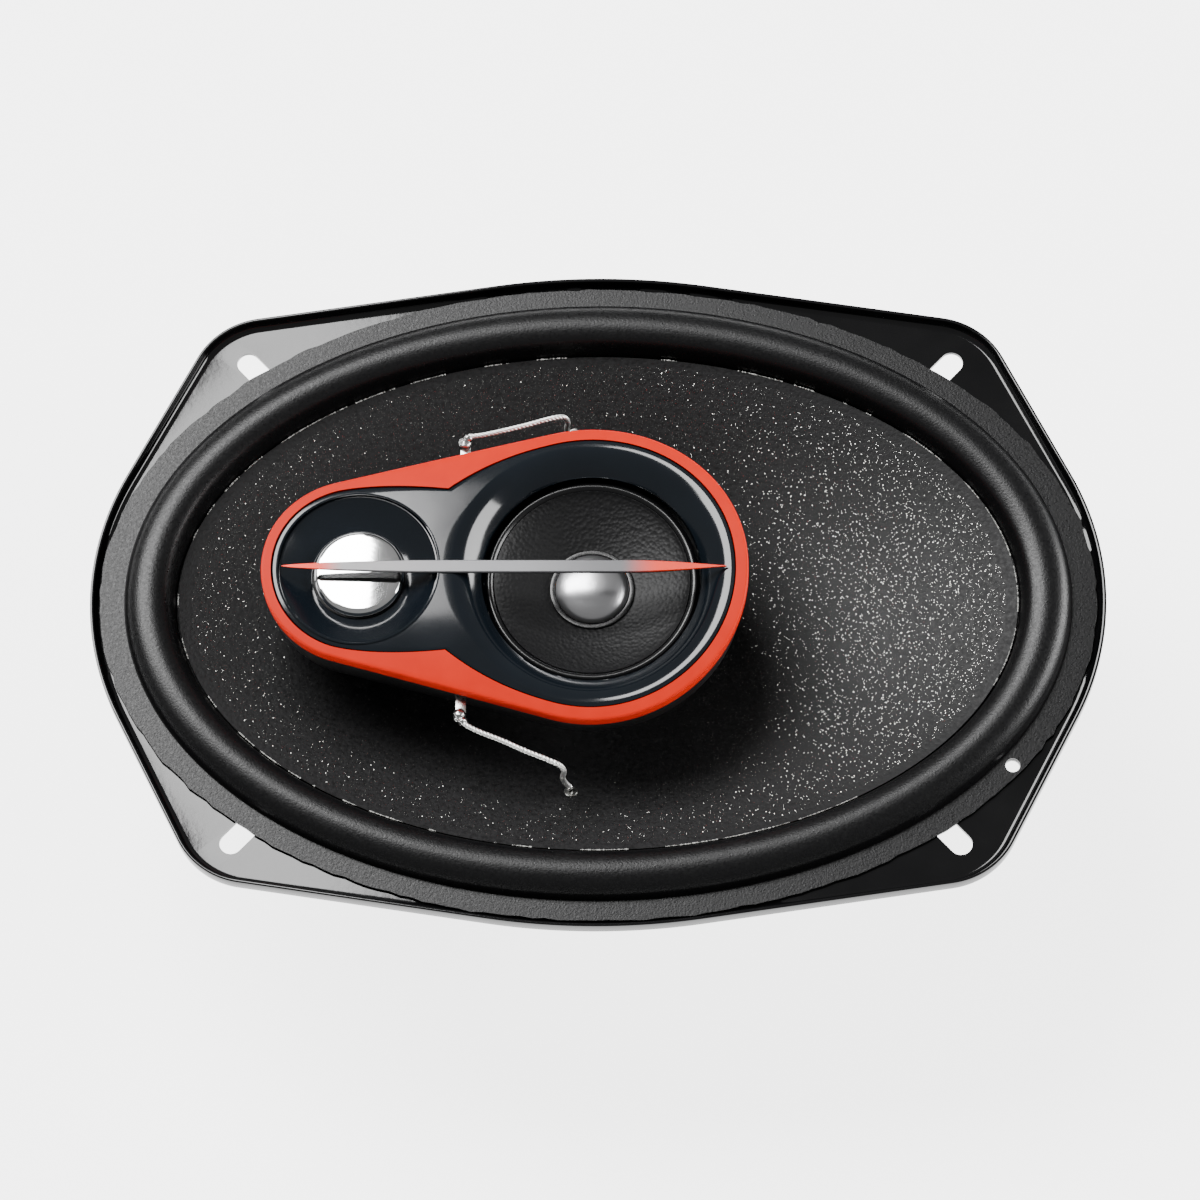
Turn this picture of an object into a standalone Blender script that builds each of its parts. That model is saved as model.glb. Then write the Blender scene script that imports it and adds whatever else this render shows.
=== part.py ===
"""Three-way coaxial car speaker, 6x9 inch.

Metres. +Z is the speaker's axis, forward to the listener, and +X is its long side.
The origin is the centre of the yoke's back face, so the speaker lies on its magnet.
"""

import math

import bmesh
import bpy
from mathutils import Matrix, Vector

MM = 0.001
GAP = 0.3 * MM  # between pieces that touch

# Pressed steel frame
FRAME_LENGTH = 238 * MM
FRAME_WIDTH = 163.6 * MM
MOUNT_DEPTH = 78 * MM  # yoke's back to the flange's rear face
SHEET = 1.0 * MM
RIM_RISE = 3.0 * MM  # turned-up edge above the flange's front face
RIM_WALL = 0.9 * MM
RIM_FILLET = 0.5 * MM
END_R = 67 * MM  # arcs of the flange outline
LONG_R = 167 * MM
CORNER_R = 19 * MM
END_LEAN = math.radians(27)
LONG_LEAN = math.radians(8.6)
SLOT_WIDTH = 5.4 * MM
SLOT_LENGTH = 5.0 * MM  # between the centres of its round ends
SLOT_FROM_END = 35.0 * MM  # outer centre, in from the frame's end and side
SLOT_FROM_SIDE = 21.1 * MM
SLOT_TURN = math.radians(47)
PIN_HOLE_R = 1.7 * MM
PIN_HOLE_FROM_END = 22.7 * MM
PIN_HOLE_FROM_SIDE = 40.0 * MM

# Basket bowl between the flange and the spider ledge: share of the way out, share of the way up
BOWL = ((0.965, 0.944), (0.85, 0.747), (0.53, 0.41), (0.16, 0.129))
LEDGE_R = 47 * MM
LEDGE_INNER_R = 41 * MM
LEDGE_RISE = 13.1 * MM  # above the basket's floor
FLOOR_R = 36.5 * MM
FLOOR_HOLE_R = 18 * MM
WINDOW_LOW = 6.6 * MM  # above the ledge
WINDOW_HIGH = 11.0 * MM  # below the flange's front
WINDOW_CORNER = 4.0 * MM
WEDGE_NEAR = 0.7  # a window wedge starts this far out, as a share of the ledge
END_WINDOW = math.radians(19)  # half angles seen from the axis
SIDE_WINDOW = math.radians(22.5)
SIDE_WINDOW_AT = math.radians(52.5)
RIVET_CIRCLE_R = 27 * MM
RIVET_R = 1.4 * MM
RIVET_HEAD_R = 2.6 * MM
RIVET_HEAD = 1.0 * MM

# Woofer
EDGE_MARGIN = 1.8 * MM  # surround's edge, in from the frame's outline
BAND_END = 6.1 * MM  # flat flange of the surround, at the ends and on the long sides
BAND_SIDE = 5.1 * MM
ROLL_WIDTH = 12.6 * MM
ROLL_RISE = 6.0 * MM
SURROUND_T = 0.6 * MM
CONE_T = 0.8 * MM
CONE_CURVE = 0.84
NECK_RISE = 8.6 * MM  # cone's neck above the spider ledge
COIL_R = 13.0 * MM  # outside of the former
FORMER_T = 0.3 * MM
FORMER_LOW = 18 * MM
WINDING_T = 0.5 * MM
WINDING_HEIGHT = 15 * MM
SPIDER_R = 45 * MM
SPIDER_T = 0.5 * MM
SPIDER_WAVE = 1.1 * MM
DUST_RING_T = 2.2 * MM

# Motor
YOKE_R = 42 * MM
YOKE_T = 6 * MM
POLE_CLEARANCE = 0.4 * MM  # pole piece inside the former
POLE_R = COIL_R - FORMER_T - POLE_CLEARANCE
POLE_PROUD = 0.5 * MM
MAGNET_R = 45 * MM
MAGNET_HOLE_R = 24 * MM
MAGNET_T = 16.7 * MM
TOP_PLATE_R = 42 * MM
TOP_PLATE_T = 5.7 * MM
AIR_GAP = 0.5 * MM
CHAMFER = 1.0 * MM

# Post that carries the pod
POST_R = 5.5 * MM
POST_FOOT_R = 4.0 * MM
POST_STUB_R = 3.0 * MM
COUNTERBORE_R = 9 * MM
COUNTERBORE = 4 * MM
WASHER_R = 7.5 * MM
WASHER_T = 0.6 * MM
SCREW_R = 2.0 * MM
SCREW_HEAD_R = 3.8 * MM
SCREW_HEAD = 2.2 * MM
SCREW_LENGTH = 10 * MM

# Pod: a hull round the midrange and the tweeter
POD_RISE = 20 * MM  # front crown above the flange's front face
POD_BULGE = 4 * MM  # how far the front falls away towards its long edges
POD_BACK_RISE = 3.5 * MM  # shell's back above the flange's front face
MID_X = -1.1 * MM
MID_CAN_R = 27 * MM
TWEETER_CAN_R = 14 * MM
POD_WAIST = 12.9 * MM  # room for the crossover between both cans
TWEETER_X = MID_X - MID_CAN_R - TWEETER_CAN_R - POD_WAIST
POD_TWEETER_R = 22.5 * MM
TRIM_DEPTH = 3 * MM
TRIM_MID = 2.9 * MM  # width of the coloured trim round each driver
TRIM_TWEETER = 2.3 * MM
TRIM_WEDGE = ((0.21, 3.9 * MM), (0.37, 5.9 * MM), (0.48, 8.3 * MM), (0.61, 5.8 * MM), (0.77, 3.5 * MM))
SHELL_T = 1.2 * MM
SHELL_FLOOR = 1.5 * MM
SHELL_TAPER = 0.6 * MM
BEZEL_DEPTH = 8 * MM
MID_LIP = 1.4 * MM  # throat of the bowl inside the midrange's can
MID_FLARE = 6.8 * MM
MID_LAND = 1.1 * MM  # flat rim between the bowl and the trim
MID_THROAT_R = MID_CAN_R - MID_LIP
MID_BOWL_R = MID_THROAT_R + MID_FLARE
POD_MID_R = MID_BOWL_R + MID_LAND + TRIM_MID
TWEETER_BOWL_R = 18.7 * MM
TWEETER_THROAT_R = 10.9 * MM
BAR_WIDTH = 3.0 * MM
BAR_T = 2.0 * MM
BAR_PROUD = 0.4 * MM
BAR_TIP_GAP = 1.1 * MM
POD_SCREW_R = 1.2 * MM
POD_SCREW_HEAD_R = 2.2 * MM
POD_SCREW_HEAD = 1.5 * MM
POD_SCREW_DEPTH = 1.8 * MM
BOSS_R = 2.2 * MM
CAPACITOR_R = 2.6 * MM
CAPACITOR_LENGTH = 14 * MM

# Midrange driver
MID_CAN_DEPTH = 8.5 * MM  # can's bottom below the shell's back
MID_CAN_WALL = 1.5 * MM
MID_SEAT = 1.3 * MM
MID_SEAT_DEPTH = 3.0 * MM
MID_ROLL = 2.7 * MM  # width of its surround
MID_CONE_R = MID_CAN_R - MID_CAN_WALL - MID_ROLL
MID_DOME_R = 8.6 * MM
MID_DOME_RISE = 3.6 * MM
MID_COIL_R = 9.2 * MM
MID_YOKE_R = 13 * MM
MID_YOKE_HEIGHT = 6.2 * MM
MID_MAGNET_T = 2.8 * MM
MID_FLANGE_T = 0.9 * MM

# Tweeter
TWEETER_CAN_DEPTH = 2.5 * MM
TWEETER_YOKE_HEIGHT = 7.7 * MM
TWEETER_MAGNET_T = 3.0 * MM
TWEETER_COIL_R = 9.5 * MM
TWEETER_DOME_R = 10.5 * MM
TWEETER_DOME_RISE = 3.0 * MM
TWEETER_RING_T = 2.3 * MM
TWEETER_BOWL_SINK = 1.9 * MM
SMALL_COIL_T = 0.4 * MM
SMALL_PLATE_T = 1.4 * MM
SMALL_FLOOR = 1.5 * MM

# Wiring
EYELET_X = -6 * MM
EYELET_FROM_CENTRE = 45.4 * MM
EYELET_R = 0.7 * MM
EYELET_HEAD_R = 1.6 * MM
EYELET_HEAD = 0.5 * MM
LEAD_R = 0.6 * MM
TAG_X = -31 * MM
TAG_Z_DROP = 8 * MM  # below the pod's front crown
TAG_WIDTH = 2.4 * MM
TAG_T = 0.6 * MM
TAG_LENGTH = 6.4 * MM
BOARD_LENGTH = 26 * MM
BOARD_WIDTH = 12 * MM
BOARD_T = 1.6 * MM
TAB_T = 0.8 * MM
TAB_WIDE = 6.3 * MM
TAB_NARROW = 4.8 * MM
TAB_BLADE = 9 * MM
TAB_AT = 7.6 * MM
TAB_FOOT = 8 * MM
LEAD_WINDOW = 6 * MM
WIRE_R = 0.9 * MM

# Heights that follow from the values above
FLANGE_REAR = MOUNT_DEPTH
FLANGE_FRONT = MOUNT_DEPTH + SHEET
RIM_TOP = FLANGE_FRONT + RIM_RISE
MAGNET_Z = YOKE_T + GAP
TOP_PLATE_Z = MAGNET_Z + MAGNET_T + GAP
TOP_PLATE_TOP = TOP_PLATE_Z + TOP_PLATE_T
POLE_TOP = TOP_PLATE_TOP + POLE_PROUD
FLOOR_Z = TOP_PLATE_TOP + GAP
FLOOR_TOP = FLOOR_Z + SHEET
LEDGE_Z = FLOOR_TOP + LEDGE_RISE
NECK_Z = LEDGE_Z + NECK_RISE
POD_FRONT = FLANGE_FRONT + POD_RISE
POD_BACK = FLANGE_FRONT + POD_BACK_RISE
SHELL_INSIDE = POD_BACK + SHELL_FLOOR
BEZEL_BACK = POD_FRONT - BEZEL_DEPTH
CAN_TOP = BEZEL_BACK - GAP
MID_CAN_BOTTOM = POD_BACK - MID_CAN_DEPTH
MID_CAN_FLOOR = MID_CAN_BOTTOM + MID_CAN_WALL
MID_LEDGE = CAN_TOP - MID_SEAT_DEPTH
TWEETER_CAN_FLOOR = POD_BACK - TWEETER_CAN_DEPTH + SHELL_FLOOR
TAG_Z = POD_FRONT - TAG_Z_DROP
POD_CROWN_R = POD_MID_R**2 / (2 * POD_BULGE)

# Plan sizes that follow
HALF_LENGTH = FRAME_LENGTH / 2
HALF_WIDTH = FRAME_WIDTH / 2
BAND_A = HALF_LENGTH - EDGE_MARGIN
BAND_B = HALF_WIDTH - EDGE_MARGIN
ROLL_A = BAND_A - BAND_END
ROLL_B = BAND_B - BAND_SIDE
CONE_A = ROLL_A - ROLL_WIDTH
CONE_B = ROLL_B - ROLL_WIDTH
OPENING_A = ROLL_A - GAP
OPENING_B = ROLL_B - GAP
NECK_R = COIL_R + GAP
WINDING_R = COIL_R + GAP + WINDING_T
PLATE_HOLE_R = WINDING_R + AIR_GAP

FINE, MEDIUM, COARSE = 36, 20, 10  # steps of turned pieces
RIM_ANGLES = [math.tau * i / 48 for i in range(48)]


# ---------------------------------------------------------------- scene and helpers


def clear_scene():
    for obj in list(bpy.data.objects):
        bpy.data.objects.remove(obj, do_unlink=True)


def new_collection(name):
    collection = bpy.data.collections.new(name)
    bpy.context.scene.collection.children.link(collection)
    return collection


def material(name, colour, roughness, metallic=0.0):
    made = bpy.data.materials.get(name) or bpy.data.materials.new(name)
    made.use_nodes = True
    shader = made.node_tree.nodes["Principled BSDF"]
    shader.inputs["Base Color"].default_value = (*colour, 1.0)
    shader.inputs["Roughness"].default_value = roughness
    shader.inputs["Metallic"].default_value = metallic
    return made


def add(name, mesh, finish, smooth_below=35):
    """A finished piece from a mesh. A finish of None makes it a cutter."""
    obj = bpy.data.objects.new(name, mesh)
    if finish is None:
        CUTTERS.objects.link(obj)
        obj.hide_render = True
        obj.display_type = "WIRE"
        return obj
    SPEAKER.objects.link(obj)
    mesh.materials.append(finish)
    if mesh.polygons:
        mesh.shade_smooth()
        mesh.set_sharp_from_angle(angle=math.radians(smooth_below))
    return obj


def mesh_from(bm, name):
    bmesh.ops.recalc_face_normals(bm, faces=bm.faces)
    mesh = bpy.data.meshes.new(name)
    bm.to_mesh(mesh)
    bm.free()
    return mesh


def loft(name, rings, finish, capped=False):
    """Quads between rings of equal count. Uncapped, the last ring joins the first one."""
    bm = bmesh.new()
    rows = [[bm.verts.new(point) for point in ring] for ring in rings]
    pairs = list(zip(rows, rows[1:]))
    if capped:
        bm.faces.new(rows[0])
        bm.faces.new(rows[-1])
    else:
        pairs.append((rows[-1], rows[0]))
    for low, high in pairs:
        for i in range(len(low)):
            j = (i + 1) % len(low)
            bm.faces.new((low[i], low[j], high[j], high[i]))
    return add(name, mesh_from(bm, name), finish)


def turned(name, profile, finish, steps=MEDIUM, centre_x=0.0):
    """A profile of (radius, height) turned about Z. It runs down its outer side, then up its inner side."""
    mesh = bpy.data.meshes.new(name)
    edges = [(i, i + 1) for i in range(len(profile) - 1)]
    if profile[0][0] > 0:
        edges.append((len(profile) - 1, 0))
    mesh.from_pydata([(r, 0, z) for r, z in profile], edges, [])
    obj = add(name, mesh, finish)
    turn = obj.modifiers.new("turn", "SCREW")
    turn.steps = turn.render_steps = steps
    turn.use_merge_vertices = True
    turn.merge_threshold = 0.00001
    obj.location.x = centre_x
    return obj


def tube_between(outer, inner, low, high, bevel=0.0):
    """Profile of a plain ring, with its outer corners taken off by bevel."""
    if not bevel:
        return [(outer, high), (outer, low), (inner, low), (inner, high)]
    return [
        (outer - bevel, high),
        (outer, high - bevel),
        (outer, low + bevel),
        (outer - bevel, low),
        (inner, low),
        (inner, high),
    ]


def disc(radius, low, high):
    """Profile of a plain solid disc."""
    return [(0, high), (radius, high), (radius, low), (0, low)]


def boolean(obj, other, operation="DIFFERENCE"):
    step = obj.modifiers.new(other.name, "BOOLEAN")
    step.object = other
    step.operation = operation
    step.solver = "EXACT"


def cylinders(name, places, finish=None, segments=COARSE):
    """One mesh of upright cylinders, each given as x, y, radius, low, high."""
    bm = bmesh.new()
    for x, y, radius, low, high in places:
        bmesh.ops.create_cone(
            bm,
            cap_ends=True,
            segments=segments,
            radius1=radius,
            radius2=radius,
            depth=high - low,
            matrix=Matrix.Translation((x, y, (low + high) / 2)),
        )
    return add(name, mesh_from(bm, name), finish)


def box(name, low, high, finish=None, bevel=0.0, parent=None):
    """A block between two corners."""
    bm = bmesh.new()
    bmesh.ops.create_cube(bm, size=1)
    size = Vector(high) - Vector(low)
    bmesh.ops.scale(bm, vec=size, verts=bm.verts)
    bmesh.ops.translate(bm, vec=(Vector(high) + Vector(low)) / 2, verts=bm.verts)
    obj = add(name, mesh_from(bm, name), finish)
    if bevel:
        edge = obj.modifiers.new("edges", "BEVEL")
        edge.width = bevel
        edge.segments = 1
    obj.parent = parent
    return obj


def smooth_route(knots, steps):
    """Points on a Catmull-Rom curve through the knots, with the given steps between two knots."""
    ends = [knots[0] * 2 - knots[1]] + knots + [knots[-1] * 2 - knots[-2]]
    points = []
    for a, b, c, d in zip(ends, ends[1:], ends[2:], ends[3:]):
        for i in range(steps):
            t = i / steps
            bend = (a * -1 + b * 3 - c * 3 + d) * t**3 + (a * 2 - b * 5 + c * 4 - d) * t**2
            points.append((bend + (c - a) * t + b * 2) / 2)
    return points + [knots[-1]]


def wire(name, points, radius, finish):
    curve = bpy.data.curves.new(name, "CURVE")
    curve.dimensions = "3D"
    curve.bevel_depth = radius
    curve.bevel_resolution = 2
    curve.use_fill_caps = True
    spline = curve.splines.new("POLY")
    spline.points.add(len(points) - 1)
    for point, place in zip(spline.points, points):
        point.co = (*place, 1)
    curve.materials.append(finish)
    obj = bpy.data.objects.new(name, curve)
    SPEAKER.objects.link(obj)
    return obj


def rivet_profile(shank, head, head_t, tail, tail_t, low, high):
    """A rivet with its round head above high and its tail below low."""
    return [
        (0, high + head_t),
        (head * 0.6, high + head_t),
        (head, high + head_t * 0.4),
        (head, high),
        (shank, high),
        (shank, low),
        (tail, low),
        (tail, low - tail_t),
        (0, low - tail_t),
    ]


# ---------------------------------------------------------------- outlines


def arc(centre, radius, start, end, steps):
    angles = [start + (end - start) * i / steps for i in range(steps + 1)]
    return [centre + Vector((math.cos(a), math.sin(a))) * radius for a in angles]


def straight(start, end, steps):
    """Points inside a straight stretch, without its two ends."""
    return [start.lerp(end, i / steps) for i in range(1, steps)]


def flange_corner():
    """Centre of the corner arc, a corner radius inside both leaning sides."""
    end_normal = Vector((math.cos(END_LEAN), math.sin(END_LEAN)))
    long_normal = Vector((math.sin(LONG_LEAN), math.cos(LONG_LEAN)))
    end_at = end_normal.x * (HALF_LENGTH - END_R) + END_R - CORNER_R
    long_at = long_normal.y * (HALF_WIDTH - LONG_R) + LONG_R - CORNER_R
    cross = end_normal.x * long_normal.y - end_normal.y * long_normal.x
    x = (end_at * long_normal.y - long_at * end_normal.y) / cross
    y = (long_at * end_normal.x - end_at * long_normal.x) / cross
    return Vector((x, y))


def flange_outline(inset):
    """Once round the flange, from +X: end arc, leaning side, corner and long arc, four times mirrored."""
    long_start = math.pi / 2 - LONG_LEAN
    end = arc(Vector((HALF_LENGTH - END_R, 0)), END_R - inset, 0, END_LEAN, 3)
    corner = arc(flange_corner(), CORNER_R - inset, END_LEAN, long_start, 4)
    long_side = arc(Vector((0, HALF_WIDTH - LONG_R)), LONG_R - inset, long_start, math.pi / 2, 2)
    quarter = end + straight(end[-1], corner[0], 2) + corner
    quarter += straight(corner[-1], long_side[0], 3) + long_side
    mirrored = [Vector((-p.x, p.y)) for p in reversed(quarter[:-1])]
    half = quarter + mirrored
    return half + [Vector((p.x, -p.y)) for p in reversed(half[1:-1])]


def flange_ring(inset, z):
    return [(p.x, p.y, z) for p in flange_outline(inset)]


def basket_ring(a, b, z):
    """An ellipse whose points face those of the flange outline."""
    angles = [math.atan2(p.y / HALF_WIDTH, p.x / HALF_LENGTH) for p in flange_outline(0)]
    return [(a * math.cos(t), b * math.sin(t), z) for t in angles]


def ellipse_ring(a, b, z):
    return [(a * math.cos(t), b * math.sin(t), z) for t in RIM_ANGLES]


def bowl_station(out, up):
    """Half length, half width and height of one level of the basket's bowl, on its inside."""
    a = LEDGE_R + (OPENING_A - LEDGE_R) * out
    b = LEDGE_R + (OPENING_B - LEDGE_R) * out
    return a, b, LEDGE_Z + (FLANGE_FRONT - LEDGE_Z) * up


def cone_height(share):
    """Height of the cone's front a share of the way from its neck to its edge."""
    return NECK_Z + (FLANGE_FRONT - NECK_Z) * share**CONE_CURVE


def cone_point(x, y):
    """Height of the cone's front over a point, found by halving."""
    low, high = 0.0, 1.0
    for _ in range(40):
        share = (low + high) / 2
        a = NECK_R + (CONE_A - NECK_R) * share
        b = NECK_R + (CONE_B - NECK_R) * share
        if (x / a) ** 2 + (y / b) ** 2 > 1:
            low = share
        else:
            high = share
    return Vector((x, y, cone_height(share)))


def cone_normal(x, y):
    step = 0.5 * MM
    along = cone_point(x + step, y) - cone_point(x - step, y)
    across = cone_point(x, y + step) - cone_point(x, y - step)
    return along.cross(across).normalized()


def pod_outline():
    """Once round the pod: point, outward direction and width of the trim there."""
    lean = math.asin((POD_MID_R - POD_TWEETER_R) / (MID_X - TWEETER_X))
    turn = math.pi / 2 + lean
    flank = Vector((math.cos(turn), math.sin(turn)))
    start = Vector((TWEETER_X, 0)) + flank * POD_TWEETER_R
    end = Vector((MID_X, 0)) + flank * POD_MID_R
    wedge = [(start.lerp(end, share), flank, width) for share, width in TRIM_WEDGE]

    def round_end(centre_x, radius, first, last, steps, width):
        centre = Vector((centre_x, 0))
        points = arc(centre, radius, first, last, steps)
        return [(p, (p - centre).normalized(), width) for p in points]

    big = round_end(MID_X, POD_MID_R, -turn, turn, 20, TRIM_MID)
    small = round_end(TWEETER_X, POD_TWEETER_R, turn, math.tau - turn, 10, TRIM_TWEETER)
    lower = [(Vector((p.x, -p.y)), Vector((n.x, -n.y)), w) for p, n, w in wedge]
    return big + wedge[::-1] + small + lower


def pod_crown(y):
    return POD_FRONT - POD_BULGE * (y / POD_MID_R) ** 2


def pod_ring(inset, drop=0.0, trim=0.0, z=None):
    """The pod's edge moved in by inset and by a share of the trim's width, below the crowned front or at z."""
    ring = []
    for point, outward, width in pod_outline():
        place = point - outward * (inset + width * trim)
        ring.append((place.x, place.y, pod_crown(place.y) - drop if z is None else z))
    return ring


# ---------------------------------------------------------------- frame


def stadium(bm, start, end, radius, low, high):
    """A prism with round ends."""
    turn = math.atan2(end.y - start.y, end.x - start.x)
    outline = arc(start, radius, turn + math.pi / 2, turn + math.pi * 1.5, 6)
    outline += arc(end, radius, turn - math.pi / 2, turn + math.pi / 2, 6)
    base = bm.faces.new([bm.verts.new((p.x, p.y, low)) for p in outline])
    raised = bmesh.ops.extrude_face_region(bm, geom=[base])["geom"]
    corners = [item for item in raised if isinstance(item, bmesh.types.BMVert)]
    bmesh.ops.translate(bm, verts=corners, vec=(0, 0, high - low))


def slot_cutter():
    """Four diagonal mounting slots that point at the middle of the speaker."""
    bm = bmesh.new()
    outer = Vector((HALF_LENGTH - SLOT_FROM_END, HALF_WIDTH - SLOT_FROM_SIDE))
    inner = outer - Vector((math.cos(SLOT_TURN), math.sin(SLOT_TURN))) * SLOT_LENGTH
    for side_x in (1, -1):
        for side_y in (1, -1):
            start = Vector((outer.x * side_x, outer.y * side_y))
            end = Vector((inner.x * side_x, inner.y * side_y))
            stadium(bm, start, end, SLOT_WIDTH / 2, FLANGE_REAR - SHEET, FLANGE_FRONT + SHEET)
    return add("slot_cutter", mesh_from(bm, "slot_cutter"), None)


def window_wedge(at, half_angle):
    """A wedge that opens from the axis, with its four long edges rounded, cuts one window."""
    near, far = LEDGE_INNER_R * WEDGE_NEAR, HALF_LENGTH
    low, high = LEDGE_Z + WINDOW_LOW, FLANGE_FRONT - WINDOW_HIGH
    bm = bmesh.new()
    bmesh.ops.create_cube(bm, size=2)
    for vert in bm.verts:
        reach = near if vert.co.x < 0 else far
        side = vert.co.y * reach * math.tan(half_angle)
        vert.co = Vector((reach, side, low if vert.co.z < 0 else high))
    long_edges = [e for e in bm.edges if abs(e.verts[0].co.x - e.verts[1].co.x) > MM]
    bmesh.ops.bevel(bm, geom=long_edges, offset=WINDOW_CORNER, segments=2, profile=0.5, affect="EDGES")
    bmesh.ops.rotate(bm, verts=bm.verts, cent=(0, 0, 0), matrix=Matrix.Rotation(at, 3, "Z"))
    return mesh_from(bm, "window_wedge")


def window_cutter():
    """All six windows in one cutter: one at each end and two in each long side."""
    turns = [(0, END_WINDOW), (math.pi, END_WINDOW)]
    for at in (SIDE_WINDOW_AT, math.pi - SIDE_WINDOW_AT, math.pi + SIDE_WINDOW_AT, -SIDE_WINDOW_AT):
        turns.append((at, SIDE_WINDOW))
    bm = bmesh.new()
    for at, half_angle in turns:
        bm.from_mesh(window_wedge(at, half_angle))
    return add("window_cutter", mesh_from(bm, "window_cutter"), None)


def rivet_places():
    turns = [math.radians(45 + 90 * i) for i in range(4)]
    return [(RIVET_CIRCLE_R * math.cos(t), RIVET_CIRCLE_R * math.sin(t)) for t in turns]


def spoke_mount(side):
    """An empty on the outer face of a wide spoke: local +Z points out of the spoke, +Y up it."""
    lower, upper = bowl_station(*BOWL[3]), bowl_station(*BOWL[2])
    along = Vector((0, upper[1] - lower[1], upper[2] - lower[2])).normalized()
    middle = Vector((0, (lower[1] + upper[1]) / 2, (lower[2] + upper[2]) / 2))
    outward = Vector((0, along.z, -along.y))
    place = middle + outward * SHEET
    empty = bpy.data.objects.new("terminal_spoke" if side > 0 else "anchor_spoke", None)
    SPEAKER.objects.link(empty)
    axes = Matrix((Vector((1, 0, 0)), along, outward)).transposed().to_4x4()
    if side < 0:
        axes = Matrix.Rotation(math.pi, 4, "Z") @ axes
        place.y = -place.y
    empty.matrix_world = Matrix.Translation(place) @ axes
    return empty


def build_frame(spokes):
    front = [flange_ring(0, RIM_TOP), flange_ring(RIM_WALL, RIM_TOP)]
    front.append(flange_ring(RIM_WALL, FLANGE_FRONT + RIM_FILLET))
    front.append(flange_ring(RIM_WALL + RIM_FILLET, FLANGE_FRONT))
    inside = [basket_ring(OPENING_A, OPENING_B, FLANGE_FRONT)]
    inside += [basket_ring(*bowl_station(*station)) for station in BOWL]
    inside.append(basket_ring(LEDGE_R, LEDGE_R, LEDGE_Z))
    inside.append(basket_ring(LEDGE_INNER_R, LEDGE_INNER_R, LEDGE_Z))
    inside.append(basket_ring(FLOOR_R, FLOOR_R, FLOOR_TOP))
    inside.append(basket_ring(FLOOR_HOLE_R, FLOOR_HOLE_R, FLOOR_TOP))
    outside = [basket_ring(FLOOR_HOLE_R, FLOOR_HOLE_R, FLOOR_Z)]
    outside.append(basket_ring(FLOOR_R + SHEET * 0.7, FLOOR_R + SHEET * 0.7, FLOOR_Z))
    under_ledge = LEDGE_INNER_R + SHEET
    outside.append(basket_ring(under_ledge, under_ledge, LEDGE_Z - SHEET))
    outside.append(basket_ring(LEDGE_R + SHEET * 0.6, LEDGE_R + SHEET * 0.6, LEDGE_Z - SHEET))
    for station in reversed(BOWL):
        a, b, z = bowl_station(*station)
        outside.append(basket_ring(a + SHEET * 0.8, b + SHEET * 0.8, z - SHEET * 0.65))
    outside.append(basket_ring(OPENING_A + SHEET, OPENING_B + SHEET, FLANGE_REAR))
    outside.append(flange_ring(0, FLANGE_REAR))
    frame = loft("frame", front + inside + outside, STEEL)
    boolean(frame, slot_cutter())
    boolean(frame, PIN_HOLE)
    boolean(frame, RIVET_HOLES)
    boolean(frame, window_cutter())
    for spoke in spokes:
        hole = cylinders(f"{spoke.name}_hole", [(0, 0, RIVET_R + GAP, -3 * SHEET, SHEET)])
        hole.parent = spoke
        boolean(frame, hole)
        boolean(frame, lead_window(spoke))


def lead_window(spoke):
    """The opening high in a wide spoke that the rear lead passes through."""
    _, b, z = bowl_station(*BOWL[1])
    side = 1 if spoke.location.y > 0 else -1
    ends = sorted((side * (b - 3 * LEAD_WINDOW / 2), side * (b + LEAD_WINDOW)))
    low = (LEAD_X - LEAD_WINDOW / 2, ends[0], z - LEAD_WINDOW)
    high = (LEAD_X + LEAD_WINDOW / 2, ends[1], z - LEAD_WINDOW / 3)
    return box(f"{spoke.name}_window", low, high)


# ---------------------------------------------------------------- motor and post


def build_motor():
    turned(
        "yoke",
        [
            (POLE_R - CHAMFER / 2, POLE_TOP),
            (POLE_R, POLE_TOP - CHAMFER / 2),
            (POLE_R, YOKE_T),
            (YOKE_R - CHAMFER, YOKE_T),
            (YOKE_R, YOKE_T - CHAMFER),
            (YOKE_R, CHAMFER),
            (YOKE_R - CHAMFER, 0),
            (COUNTERBORE_R, 0),
            (COUNTERBORE_R, COUNTERBORE),
            (POST_FOOT_R + GAP, COUNTERBORE),
            (POST_FOOT_R + GAP, POLE_TOP),
        ],
        ZINC_STEEL,
        FINE,
    )
    magnet = tube_between(MAGNET_R, MAGNET_HOLE_R, MAGNET_Z, MAGNET_Z + MAGNET_T, CHAMFER)
    turned("magnet", magnet, FERRITE, FINE)
    plate = tube_between(TOP_PLATE_R, PLATE_HOLE_R, TOP_PLATE_Z, TOP_PLATE_TOP, CHAMFER / 2)
    boolean(turned("top_plate", plate, ZINC_STEEL, FINE), RIVET_HOLES)
    low = TOP_PLATE_Z + CHAMFER + 2 * GAP
    profile = rivet_profile(RIVET_R, RIVET_HEAD_R, RIVET_HEAD, RIVET_R, GAP, low, FLOOR_TOP + GAP)
    for number, (x, y) in enumerate(rivet_places(), 1):
        rivet = turned(f"basket_rivet_{number}", profile, ZINC_STEEL, COARSE)
        rivet.location = (x, y, 0)


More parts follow.
